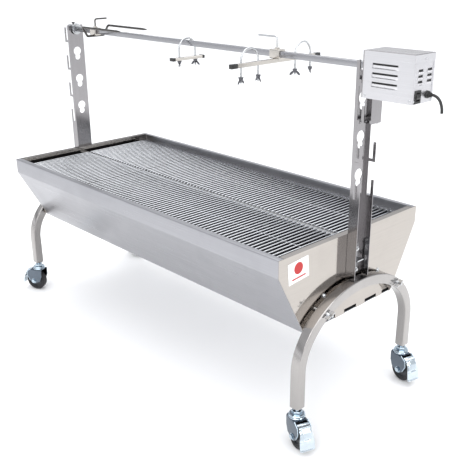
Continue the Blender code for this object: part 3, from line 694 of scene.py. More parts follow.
@dataclass
class Studio:
    """Camera, pale floor and soft lights."""

    lens: float = 55.77
    eye: tuple = (1.7282, -1.5006, 1.2649)
    azimuth: float = 46.42
    elevation: float = 21.21
    roll: float = -0.32
    shift: tuple = (-0.0088, 0.0013)
    bands: tuple = ((0.0, 0.70), (0.50, 0.85), (0.545, 1.5), (0.575, 1.4), (0.62, 0.35), (0.69, 0.95),
                    (0.78, 0.80), (0.86, 0.85), (1.0, 0.8))
    floor_half: float = 60.0
    floor_grey: tuple = (0.93, 0.93, 0.93, 1)

    def camera(self) -> None:
        """The camera, looking down at the object's front right corner."""
        a, e, r = (math.radians(v) for v in (self.azimuth, self.elevation, self.roll))
        back = Vector((math.sin(a) * math.cos(e), -math.cos(a) * math.cos(e), math.sin(e)))
        right = Vector((math.cos(a), math.sin(a), 0))
        up = back.cross(right)
        right, up = right * math.cos(r) + up * math.sin(r), up * math.cos(r) - right * math.sin(r)
        made = bpy.data.objects.new("camera", bpy.data.cameras.new("camera"))
        made.data.lens = self.lens
        made.data.shift_x, made.data.shift_y = self.shift
        made.matrix_world = Matrix((right, up, back)).transposed().to_4x4()
        made.matrix_world.translation = Vector(self.eye)
        bpy.context.scene.collection.objects.link(made)
        bpy.context.scene.camera = made

    def lamp(self, name: str, kind: str, energy: float) -> bpy.types.Object:
        """A lamp put into the scene.

        Args:
            name: its name.
            kind: Blender's word for its kind.
            energy: its power.
        Returns:
            The lamp.
        """
        made = bpy.data.objects.new(name, bpy.data.lights.new(name, kind))
        made.data.energy = energy
        bpy.context.scene.collection.objects.link(made)
        return made

    def lights(self) -> None:
        """One broad light above, two at the sides and an overcast sun."""
        spots = (("key", (-1.0, 1.4, 4.2), 4.0, 90), ("front", (1.6, -3.6, 2.6), 2.2, 45),
                 ("right", (4.0, 0.4, 1.8), 1.6, 25))
        for name, place, size, power in spots:
            made = self.lamp(name, "AREA", power)
            made.data.size = size
            made.location = place
            made.rotation_euler = (Vector((0, 0, 0.5)) - Vector(place)).to_track_quat("-Z", "Y").to_euler()
        sun = self.lamp("overcast", "SUN", 1.7)
        sun.data.angle = math.radians(70)
        sun.rotation_euler = (math.radians(18), math.radians(12), 0)

    def surround(self) -> None:
        """Bands of grey round the scene, by height, which the steel mirrors."""
        world = bpy.data.worlds.new("studio")
        bpy.context.scene.world = world
        world.use_nodes = True
        tree = world.node_tree
        ramp, place = tree.nodes.new("ShaderNodeValToRGB"), tree.nodes.new("ShaderNodeTexCoord")
        split = tree.nodes.new("ShaderNodeSeparateXYZ")
        for index, (spot, grey) in enumerate(self.bands):
            stop = ramp.color_ramp.elements[index] if index < 2 else ramp.color_ramp.elements.new(spot)
            stop.position, stop.color = spot, (grey * 0.97, grey * 0.99, grey * 1.03, 1)
        scale = tree.nodes.new("ShaderNodeMapRange")
        scale.inputs["From Min"].default_value = -1.0
        tree.links.new(place.outputs["Generated"], split.inputs[0])
        tree.links.new(split.outputs["Z"], scale.inputs["Value"])
        tree.links.new(scale.outputs["Result"], ramp.inputs[0])
        tree.links.new(ramp.outputs["Color"], tree.nodes["Background"].inputs["Color"])
        tree.nodes["Background"].inputs["Strength"].default_value = 1.0
        bpy.context.scene.view_settings.view_transform = "Standard"

    def floor(self) -> None:
        """A plain pale floor, far wider than the object."""
        half = self.floor_half
        mesh = bpy.data.meshes.new("floor")
        corners = [(-half, -half, 0), (half, -half, 0), (half, half, 0), (-half, half, 0)]
        mesh.from_pydata(corners, [], [(0, 1, 2, 3)])
        shade = bpy.data.materials.new("pale_floor")
        shade.use_nodes = True
        inputs = shade.node_tree.nodes["Principled BSDF"].inputs
        inputs["Base Color"].default_value = self.floor_grey
        inputs["Roughness"].default_value = 0.9
        mesh.materials.append(shade)
        made = bpy.data.objects.new("floor", mesh)
        bpy.context.scene.collection.objects.link(made)


# Trough, grates, legs ------------------------------------------------------------------------------


@dataclass
class Trough:
    """The folded sheet, its ends with weld seams and bolts, and the label."""

    bend: float = 0.0035
    flange: float = 0.018
    band: float = 0.050
    floor_half: float = 0.196
    bead: float = 0.0011
    bolt_at: tuple = (0.120, 0.402)
    label_at: tuple = (-0.2270, 0.5100)
    label_size: tuple = (0.078, 0.060)
    label_tilt: float = 5.0

    def section(self) -> np.ndarray:
        """The sheet's closed section across the trough: the outer line and the inner one back.

        Returns:
            Y and Z pairs round the section.
        """
        low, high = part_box("trough_sheet")
        half, top, bottom = high[1], high[2], low[2]
        outer = [(0, -half + self.flange, top), (0, -half, top), (0, -half, top - self.band),
                 (0, -self.floor_half, bottom)]
        outer += [(0, -y, z) for _, y, z in reversed(outer)]
        line = rounded_path(outer, self.bend, 6)[:, 1:]
        ahead = headings(line)
        inner = line + SHEET * np.stack([-ahead[:, 1], ahead[:, 0]], 1)
        return np.concatenate([line, inner[::-1]])

    def sheet(self) -> None:
        """The sheet: its section carried along X."""
        low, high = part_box("trough_sheet")
        path = np.linspace((low[0], 0, 0), (high[0], 0, 0), 3)
        surface = carried(self.section(), path, (0, 0, 1))
        piece("trough_skin", surface, SHEET_STEEL, "root", "trough_sheet")

    def seams(self) -> None:
        """Weld beads where the sheet meets the ends: round rods whose size ripples along them."""
        low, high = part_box("trough_sheet")
        half, top, bottom = high[1] - 0.0018, high[2], low[2] + 0.0008
        beads = []
        for end in (low[0], high[0]):
            for side in (-1, 1):
                line = np.array([(end, side * half, top - 0.002), (end, side * half, top - self.band),
                                 (end, side * self.floor_half, bottom)])
                path = resampled(line, 0.0015)
                swell = 1 + 0.25 * np.sin(np.arange(len(path)) * 2.4)
                beads.append(carried(circle(self.bead, 8), path, (1, 0, 0), scale=swell))
        piece("trough_weld_seams", joined(*beads), END_STEEL, "root")

    def bolts(self) -> None:
        """Domed bolt heads and washers on the end panels."""
        dome = turned([(0.0056, 0.0), (0.0056, 0.0010), (0.0046, 0.0028), (0.0026, 0.0039), (0.0004, 0.0042)],
                      20).shifted(z=0.0009)
        washer = turned([(0.0082, 0.0), (0.0082, 0.0009), (0.0030, 0.0009)], 24)
        made = []
        across, up = self.bolt_at
        for end, way in (("left", -1), ("right", 1)):
            low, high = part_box(f"end_panel_{end}")
            face = high[0] if way > 0 else low[0]
            for y in (-across, across):
                stand = standing((face, y, up), (way, 0, 0))
                made += [dome.moved(stand), washer.moved(stand)]
        piece("end_panel_bolts", joined(*made), BRIGHT, "root")

    def label(self) -> None:
        """A plain paper label with a red disc, on the right end."""
        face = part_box("end_panel_right")[1][0]
        tilt = Matrix.Rotation(math.radians(self.label_tilt), 4, "X")
        stand = Matrix.Translation((face, *self.label_at)) @ tilt
        plate = block((0.0005, *self.label_size), (0.0004, 0, 0), 0.0002)
        piece("label_paper", plate.moved(stand), PAPER, "root")
        disc = turned([(0.0165, 0.0), (0.0165, 0.0004)], 40).moved(standing((0.0006, 0, 0.007), (1, 0, 0)))
        line = block((0.0004, 0.052, 0.004), (0.0008, 0, -0.019), 0.0001)
        piece("label_mark", joined(disc, line).moved(stand), INK, "root")

    def lining(self) -> None:
        """The dark skin inside the trough, below the grates, a thin trapezoid tray: painted shade for the
        trough's shadowed inside.
        """
        low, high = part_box("trough_sheet")
        skin, clear = 0.0005, 0.0006
        top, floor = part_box("grate_front_right")[0][2] - 0.004, low[2] + SHEET + clear
        lean = (high[1] - self.floor_half) / (high[2] - self.band - low[2])
        foot = self.floor_half - (SHEET + clear) * 1.05
        head = foot + lean * (min(top, high[2] - self.band) - floor)
        outer = [(0, -head, top), (0, -head, high[2] - self.band), (0, -foot, floor), (0, foot, floor),
                 (0, head, high[2] - self.band), (0, head, top)]
        line = np.array([point for point in outer if point[2] <= top])[:, 1:]
        inner = line * [1 - skin / foot, 1] + [0, skin]
        section = np.concatenate([line, inner[::-1]])
        x = (low[0] + SHEET + 0.002, high[0] - SHEET - 0.002)
        tray = carried(section, np.array([(x[0], 0, 0), ((x[0] + x[1]) / 2, 0, 0), (x[1], 0, 0)]), (0, 0, 1))
        ends = [carried(line, np.array([(e, 0, 0), (e + skin / 2, 0, 0), (e + skin, 0, 0)]), (0, 0, 1))
                for e in (x[0], x[1] - skin)]
        piece("painted_shade_lining", joined(tray, *ends), TROUGH_PAINTED_SHADE, "root", sharp=20.0)

    def build(self) -> None:
        """All of the trough."""
        self.sheet()
        self.lining()
        self.seams()
        self.bolts()
        self.label()
        dress(["end_panel_left", "end_panel_right"], END_STEEL)
        dress(["grate_ledge_front", "grate_ledge_back", "grate_rail"], RIM_STEEL)


@dataclass
class Grate:
    """One lift-out grate: round rods across flat ties."""

    key: str
    pitch: float = 0.016
    rod: float = 0.0026
    tie: float = 0.0030

    def rods(self, low: Vector, high: Vector) -> Surface:
        """Every rod, a round section whose size falls to nothing at its ends like a half circle.

        Args:
            low: the low corner of the grate's box.
            high: its high corner.
        Returns:
            The rods.
        """
        count = int((high[0] - low[0] - 2 * self.rod) / self.pitch) + 1
        start = (low[0] + high[0]) / 2 - (count - 1) * self.pitch / 2
        t = np.linspace(0, np.pi / 2, 4)
        nose = self.rod * (1 - np.cos(t))
        y = np.concatenate([low[1] + nose, high[1] - nose[::-1]])
        size = np.concatenate([np.sin(t) * 0.96 + 0.04, (np.sin(t) * 0.96 + 0.04)[::-1]])
        path = np.stack([np.zeros(8), y, np.full(8, high[2] - self.rod)], 1)
        one = carried(circle(self.rod, 10), path, (0, 0, 1), scale=size)
        return joined(*[one.shifted(x=start + index * self.pitch) for index in range(count)])

    def build(self) -> None:
        """Rods, ties and the side bars of a left grate."""
        node = f"grate_{self.key}"
        low, high = extent(node)
        parts = [self.rods(low, high)]
        z = low[2] + self.tie / 2
        for share in (0.03, 0.5, 0.97):
            y = low[1] + (high[1] - low[1]) * share
            path = np.linspace((low[0] + 0.001, y, z), (high[0] - 0.001, y, z), 3)
            parts.append(carried(circle(self.tie / 2, 10), path, (0, 0, 1)))
        if self.key.endswith("left"):
            place = (high[0] - 0.0018, middle(node)[1], high[2] - 0.0032)
            parts.append(block((0.003, high[1] - low[1] - 0.001, 0.0062), place, 0.0005))
        piece(f"grate_rods_{self.key}", joined(*parts), ROD_STEEL, node, node)


@dataclass
class Leg:
    """One arched leg of square tube, with plugs in its ends."""

    end: str
    tube: float = 0.030
    radius: float = 0.003
    spring: float = 0.223

    def path(self) -> np.ndarray:
        """Upright legs and a half-ellipse between them, along the tube's centreline.

        Returns:
            The points, from the front foot to the back one.
        """
        low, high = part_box(f"leg_arch_{self.end}")
        a, crown = high[1] - self.tube / 2, high[2] - self.tube / 2
        x = middle(f"leg_arch_{self.end}")[0]
        t = np.linspace(np.pi, 0, 97)
        bow = np.stack([np.full(97, x), a * np.cos(t), self.spring + (crown - self.spring) * np.sin(t)], 1)
        foot = np.linspace((x, -a, low[2]), (x, -a, self.spring), 6)[:-1]
        return np.concatenate([foot, bow, (foot * [1, -1, 1])[::-1]])

    def build(self) -> None:
        """The tube, and its dark plugs above the casters."""
        path = self.path()
        tube = carried(soft_square(self.tube, self.tube, self.radius, 5), path, (1, 0, 0))
        piece(f"leg_tube_{self.end}", tube, TUBE_STEEL, "root", f"leg_arch_{self.end}")
        inner = self.tube - 0.005
        plugs = [block((inner, inner, 0.004), (path[0][0], side * path[0][1], path[0][2] - 0.0016), 0.002)
                 for side in (-1, 1)]
        piece(f"leg_plugs_{self.end}", joined(*plugs), PLASTIC, "root")


# Spit --------------------------------------------------------------------------------------------


def wing_nut(height: float = 0.009) -> Surface:
    """A wing nut below the origin: a turned boss with two ears shaped like thin lenses.

    Args:
        height: how tall the boss is.
    Returns:
        The nut.
    """
    boss = turned([(0.0032, 0), (0.0070, 0), (0.0072, -0.001), (0.0050, -height), (0.0034, -height)], 20)
    ear = lens((0.0036, 0.0012, 0.0090))
    ears = [ear.moved(Matrix.Rotation(-side * 0.80, 4, "Y")).shifted(side * 0.0088, 0, -height - 0.0030)
            for side in (-1, 1)]
    return joined(boss, *ears)


def threaded(path: np.ndarray, radius: float, thread: float, both: bool = True,
             pitch: float = 0.00125) -> Surface:
    """A rod with screw thread at its ends: its radius ripples as a sine of the way along.

    Args:
        path: the rod's centreline.
        radius: the rod's radius.
        thread: how far the thread reaches from the end.
        both: whether both ends have it, or only the first.
        pitch: the thread's pitch.
    Returns:
        The rod.
    """
    even = resampled(path, pitch / 4)
    s = np.arange(len(even)) * pitch / 4
    left = np.minimum(s, s[-1] - s) if both else s
    ripple = np.where(left < thread, 0.07 * np.sin(2 * np.pi * s / pitch) - 0.07, 0.0)
    ease = np.clip(left / 0.0012, 0.75, 1.0)
    return carried(circle(radius, 12), even, ASLANT, scale=(1 + ripple) * ease)


def square_ring(outer: float, hole: float, length: float, radius: float) -> Surface:
    """A collar: a flat section carried round a rounded square in the YZ plane.

    Args:
        outer: its width over all.
        hole: the square hole's width.
        length: its length along X.
        radius: its corners' radius.
    Returns:
        The collar.
    """
    mid, wall = (outer + hole) / 2, (outer - hole) / 2
    loop = soft_square(mid, mid, radius, 5)
    path = np.column_stack([np.zeros(len(loop)), loop])
    return carried(soft_square(wall, length, 0.0007, 3), path, (1, 0, 0), closed=True)


@dataclass
class Spit:
    """The square shaft with its journal, and everything clamped on it."""

    bar: float = 0.016
    collar: float = 0.026
    rod: float = 0.008
    handle: float = 0.006
    u_rod: float = 0.003
    nut_turns: tuple = (("spine_wing_nut_a", 0.7), ("spine_wing_nut_b", 1.9), ("leg_wing_nut_a", 0.2),
                        ("leg_wing_nut_b", 1.3), ("leg_wing_nut_c", 2.2), ("leg_wing_nut_d", 0.9))

    def shaft(self) -> None:
        """The square bar with round edges and tapered ends, its journal and the knob screw."""
        low, high = extent("spit_shaft")
        self.axis_z = (low[2] + high[2]) / 2
        x = np.array([low[0], low[0] + 0.003, high[0] - 0.003, high[0]])
        path = np.column_stack([x, np.zeros(4), np.full(4, self.axis_z)])
        size = np.array([0.82, 1.0, 1.0, 0.82])
        bar = carried(soft_square(self.bar, self.bar, 0.0012, 4), path, (0, 0, 1), scale=size)
        piece("spit_bar", bar, BAR_STEEL, "spit", "spit_shaft")
        dress(["spit_journal"], BRIGHT)
        low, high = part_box("journal_screw")
        tall, wide = high[2] - low[2], (high[0] - low[0]) / 2
        knob = turned([(0.003, tall - 0.005), (wide * 0.93, tall - 0.0048), (wide * 0.97, tall - 0.0040),
                       (wide * 0.97, tall - 0.0012), (wide * 0.85, tall - 0.0003), (0.001, tall - 0.0001)],
                      60, 0.03, 10)
        stem = threaded(np.array([(0, 0, 0), (0, 0, tall / 2), (0, 0, tall - 0.004)]), 0.0030, tall, False)
        piece("journal_knob", joined(knob, stem).shifted(middle("journal_screw")[0], 0, low[2]), PLASTIC,
              "journal_screw", "journal_screw")

    def handle_screw(self, node: str, body: str, finish: Steel) -> None:
        """A bent handle on a threaded screw, from its foot up and over to its round end.

        Args:
            node: the CAD node that it stands for.
            body: the body that it rides on.
            finish: its finish.
        """
        low, high = extent(node)
        size = high - low
        x, y = (low[0] + high[0]) / 2, (low[1] + high[1]) / 2
        r = self.handle / 2
        if size[0] > size[1]:
            foot, tip = (high[0] - r, y), (low[0], y)
        else:
            foot, tip = (x, low[1] + r), (x, high[1])
        top = high[2] - r
        path = rounded_path([(*foot, low[2]), (*foot, top), (*tip, top)], 0.008)
        piece(f"{node}_handle", threaded(path, r * 0.98, 0.030, False), finish, body, node)

    def collar_at(self, place: Vector, length: float) -> Surface:
        """The collar's ring with a nut welded on its top.

        Args:
            place: its middle.
            length: its length along X.
        Returns:
            Both, as one surface.
        """
        ring = square_ring(self.collar, self.bar + 0.0006, length, 0.0015)
        hole = self.handle / 2 + 0.0002
        nut = ring_turned([(hole, 0), (0.0070, 0), (0.0076, 0.0006), (0.0076, 0.0040), (0.0070, 0.0046),
                           (hole, 0.0046)], 6).shifted(z=self.collar / 2 - 0.0003)
        return joined(ring, nut).shifted(*place)

    def fork(self) -> None:
        """The collar and the bent prong rod below it, its tips drawn to points."""
        low, high = extent("fork")
        place = Vector((middle("fork_screw")[0], 0, self.axis_z))
        r = self.rod / 2
        wide, narrow, lift = high[1] - r, 0.035, high[2] - r
        drop, tip = low[2] + r, high[0]
        corners = [(tip, -wide, lift), (place[0], -wide, lift), (place[0], -narrow, drop),
                   (place[0], narrow, drop), (place[0], wide, lift), (tip, wide, lift)]
        path = resampled(rounded_path(corners, 0.007), 0.002)
        s = np.arange(len(path)) * 0.002
        point = np.clip(np.minimum(s, s[-1] - s) / 0.024, 0.0, 1.0)
        rod = carried(circle(r, 16), path, FORK_ASLANT, scale=0.12 + 0.88 * np.sqrt(point))
        # The rod's near-black colour is painted reflection.
        piece("fork_prongs", rod, PRONG_PAINTED_REFLECTION, "fork", "fork")
        piece("fork_collar", self.collar_at(place, 0.036), CLAMP_STEEL, "fork")
        self.handle_screw("fork_screw", "fork_screw", PRONG_PAINTED_REFLECTION)

    def u_bolt(self, node: str, body: str) -> None:
        """A U-bolt: two legs and a half circle, threaded at the feet.

        Args:
            node: the CAD node that it stands for.
            body: the body that it rides on.
        """
        low, high = extent(node)
        half = (high[1] - low[1]) / 2 - self.u_rod
        x, y, crown = (low[0] + high[0]) / 2, (low[1] + high[1]) / 2, high[2] - self.u_rod
        t = np.linspace(np.pi, 0, 33)
        bow = np.stack([np.full(33, x), y + half * np.cos(t), crown - half + half * np.sin(t)], 1)
        path = np.concatenate([[(x, y - half, low[2])], bow, [(x, y + half, low[2])]])
        piece(f"{node}_rod", threaded(path, self.u_rod, 0.030), BRIGHT, body, node)

    def wing_nuts(self) -> None:
        """The wing nuts under the clamps, each turned as its CAD solid is."""
        for node, turn in self.nut_turns:
            x, y, _ = middle(node)
            spun = wing_nut().moved(Matrix.Rotation(turn + math.pi / 2, 4, "Z"))
            piece(f"{node}_ears", spun.shifted(x, y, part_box(node)[1][2]), NUT_STEEL, node, node)

    def cross_bar(self, node: str, wide: float, height: float, ends: float) -> tuple[Surface, Surface]:
        """A bar along Y, with black blocks over its ends: painted shade for the dark inside of the open tube.

        Args:
            node: the CAD node that it lies in, whose lowest part it is.
            wide: how wide the bar is.
            height: how tall it is.
            ends: how much of each end the black blocks cover.
        Returns:
            The bar and the black end blocks.
        """
        low, high = extent(node)
        x, z = middle(node)[0], low[2] + height / 2
        half = high[1]
        bar = block((wide - 0.0010, 2 * half - 0.002, height - 0.0010), (x, 0, z), 0.0008)
        caps = [block((wide, ends, height), (x, side * (half - ends / 2), z), 0.0012) for side in (-1, 1)]
        return bar, joined(*caps)

    def clamps(self) -> None:
        """The spine clamp and the leg bracket."""
        bar, caps = self.cross_bar("spine_plate", 0.020, 0.010, 0.010)
        piece("spine_bar", bar, CLAMP_STEEL, "spine_clamp", "spine_plate")
        piece("spine_bar_painted_shade_ends", caps, PLASTIC, "spine_clamp")
        self.u_bolt("spine_u_bolt", "spine_clamp")
        bar, caps = self.cross_bar("leg_bar", 0.012, 0.012, 0.024)
        place = Vector((middle("leg_bar")[0], 0, self.axis_z))
        bracket = joined(self.collar_at(place, 0.037), bar)
        piece("leg_cross_bar", bracket, CLAMP_STEEL, "leg_bracket", "leg_bar")
        piece("leg_bar_painted_shade_ends", caps, PLASTIC, "leg_bracket")
        self.u_bolt("leg_u_bolt_front", "leg_bracket")
        self.u_bolt("leg_u_bolt_back", "leg_bracket")
        self.handle_screw("leg_bar_screw", "leg_bar_screw", BRIGHT)

    def build(self) -> None:
        """The whole spit."""
        self.shaft()
        self.fork()
        self.clamps()
        self.wing_nuts()


# Motor -------------------------------------------------------------------------------------------


@dataclass
class Motor:
    """The louvred casing, its fittings and the supply lead."""

    lead: float = 0.0070
    route: tuple = (
        (0.0005, 0.0, 0.0), (0.0065, 0.0, -0.0003), (0.0150, 0.0005, -0.0038), (0.0220, 0.0010, -0.0105),
        (0.0265, 0.0015, -0.0195), (0.0290, 0.0020, -0.0290), (0.0300, 0.0020, -0.0400),
    )
    side_louvres: tuple = (0.084, 0.062, 0.040)
    side_middle: float = 0.062
    end_louvres: tuple = (0.077, 0.064, 0.051)
    end_columns: tuple = (-0.040, -0.003)
    lip: float = 0.0070

    def centreline(self) -> np.ndarray:
        """The lead's line: the Catmull-Rom curve through its route, from the gland's mouth.

        Returns:
            The points along it.
        """
        low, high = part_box("cord_gland")
        mouth = np.array([high[0], (low[1] + high[1]) / 2, (low[2] + high[2]) / 2])
        p = np.array(self.route)
        k = np.concatenate([[2 * p[0] - p[1]], p, [2 * p[-1] - p[-2]]])
        u = np.linspace(0, len(p) - 1, 60)
        i = np.minimum(u.astype(int), len(p) - 2)
        t = (u - i)[:, None]
        a, b, c, d = k[i], k[i + 1], k[i + 2], k[i + 3]
        bend, swing = 2 * a - 5 * b + 4 * c - d, 3 * b - a - 3 * c + d
        return mouth + 0.5 * (2 * b + (c - a) * t + bend * t ** 2 + swing * t ** 3)

    def cord(self) -> None:
        """The short supply lead below its strain relief."""
        path = self.centreline()
        tube = carried(circle(self.lead / 2, 20), path, (0, 1, 0))
        made = piece("supply_lead", tube, LEAD, "motor", "supply_cord")

    def gland(self) -> None:
        """A ribbed strain relief: a collar, then rings on a cone."""
        low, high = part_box("cord_gland")
        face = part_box("motor_casing")[1][0]
        length = high[0] - face
        x = np.linspace(0.0045, length, 40)
        taper = 0.0070 - 0.0016 * (x - 0.0045) / (length - 0.0045)
        rib = taper - 0.0007 * (np.sin((x - 0.0045) / 0.0022 * 2 * np.pi) > 0.35)
        collar = [(0.0074, -0.010), (0.0074, 0.0002), (0.0090, 0.0004), (0.0090, 0.0034), (0.0082, 0.0042)]
        profile = np.concatenate([collar, np.stack([rib, x], 1), [(0.0037, length)]])
        stand = standing((face, (low[1] + high[1]) / 2, (low[2] + high[2]) / 2), (1, 0, 0))
        piece("strain_relief", turned(profile, 32).moved(stand), PLASTIC, "motor", "cord_gland")

    def louvre(self, width: float, height: float, depth: float) -> Surface:
        """A pressed louvre: a sheet that bulges as a quarter ellipse from its lower edge to its slot.

        Args:
            width: its length along the wall.
            height: how far it reaches down from the slot.
            depth: how far it stands out.
        Returns:
            The hood, along X, standing out along -Y, with its slot at the top.
        """
        u = np.linspace(-1, 1, 25)
        v = np.linspace(0, np.pi / 2, 9)
        ends = np.sqrt(np.clip(1 - np.abs(u) ** 6, 0, 1))[:, None]
        x = np.broadcast_to(u[:, None] * width / 2, (25, 9))
        out = -depth * np.sin(v)[None] * ends
        z = np.broadcast_to(-height * np.cos(v)[None], (25, 9))
        skin = np.stack([x, out, z], -1)
        inner = skin + np.array([0, 0.0008, -0.0002])
        inner[:, :, 1] = np.minimum(inner[:, :, 1], 0.0006)
        return capped(np.concatenate([skin, inner[:, ::-1]], 1))

    def louvres(self) -> None:
        """Three long louvres front and back, and six short ones on the end."""
        low, high = extent("motor_casing")
        _, y, z = middle("motor_casing")
        x = low[0] + self.side_middle
        made = []
        hood = self.louvre(0.075, 0.0090, 0.0045)
        behind = hood.moved(Matrix.Rotation(math.pi, 4, "Z"))
        for rise in self.side_louvres:
            foot = low[2] + rise - 0.0020
            made += [hood.shifted(x, low[1], foot), behind.shifted(x, high[1], foot)]
        hood = self.louvre(0.020, 0.0055, 0.0030).moved(Matrix.Rotation(math.pi / 2, 4, "Z"))
        for column in self.end_columns:
            for rise in self.end_louvres:
                made.append(hood.shifted(high[0], column, low[2] + rise - 0.0026))
        piece("casing_louvres", joined(*made), CASING, "motor")
        # Black sheets behind the side louvres and inside the end: painted shade, so the louvre slots look
        # dark.
        skins = [block((0.096, 0.0006, 0.078), (x, side, z + 0.005), 0.0002)
                 for side in (low[1] + 0.0020, high[1] - 0.0020)]
        skins.append(block((0.0006, 0.070, 0.044), (high[0] - 0.0022, y, low[2] + 0.066), 0.0002))
        piece("casing_painted_shade_liner", joined(*skins), PLASTIC, "motor")

    def lid(self) -> None:
        """The cover's overlapping edge round the end's top, and its screws."""
        low, high = extent("motor_casing")
        x, y, z = middle("motor_casing")
        depth, face = high[1] - low[1], high[0] + 0.0004
        edges = (low[1] + self.lip / 2, high[1] - self.lip / 2)
        strip = block((0.0009, depth, 0.019), (face, y, high[2] - 0.0095), 0.0004)
        side = block((0.0009, self.lip, high[2] - low[2] - 0.021), (face, 0, z - 0.0100), 0.0004)
        cover = joined(strip, *[side.shifted(y=edge) for edge in edges])
        piece("casing_cover_edge", cover, CASING, "motor")
        # A dark sheet over the casing's top: painted reflection, darker than the pale casing.
        top = block((high[0] - low[0], depth, 0.0010), (x, y, high[2] + 0.0003), 0.0004)
        piece("casing_top_painted_reflection_sheet", top, CASING_TOP_PAINTED_REFLECTION, "motor")
        head = turned([(0.0030, 0.0), (0.0030, 0.0006), (0.0022, 0.0016), (0.0004, 0.0019)], 18)
        face, inset, foot = high[0] + 0.0008, 0.008, low[2] + 0.008
        spots = [((face, y, high[2] - 0.010), (1, 0, 0))]
        spots += [((face, edge, foot), (1, 0, 0)) for edge in edges]
        spots += [((corner, wall, foot), (0, way, 0)) for wall, way in ((low[1], -1), (high[1], 1))
                  for corner in (low[0] + inset, high[0] - inset)]
        piece("casing_screws", joined(*[head.moved(standing(*spot)) for spot in spots]), BRIGHT, "motor")

    def build(self) -> None:
        """The motor's pieces and dressed nodes."""
        self.gland()
        self.louvres()
        self.lid()
        dress(["motor_casing"], CASING)
        dress(["hook_plate"], POST_STEEL)
        dress(["gear_motor"], ZINC)
        dress(["drive_socket"], BRIGHT)
        dress(["switch_bezel", "switch_rocker"], PLASTIC)


# Casters -----------------------------------------------------------------------------------------


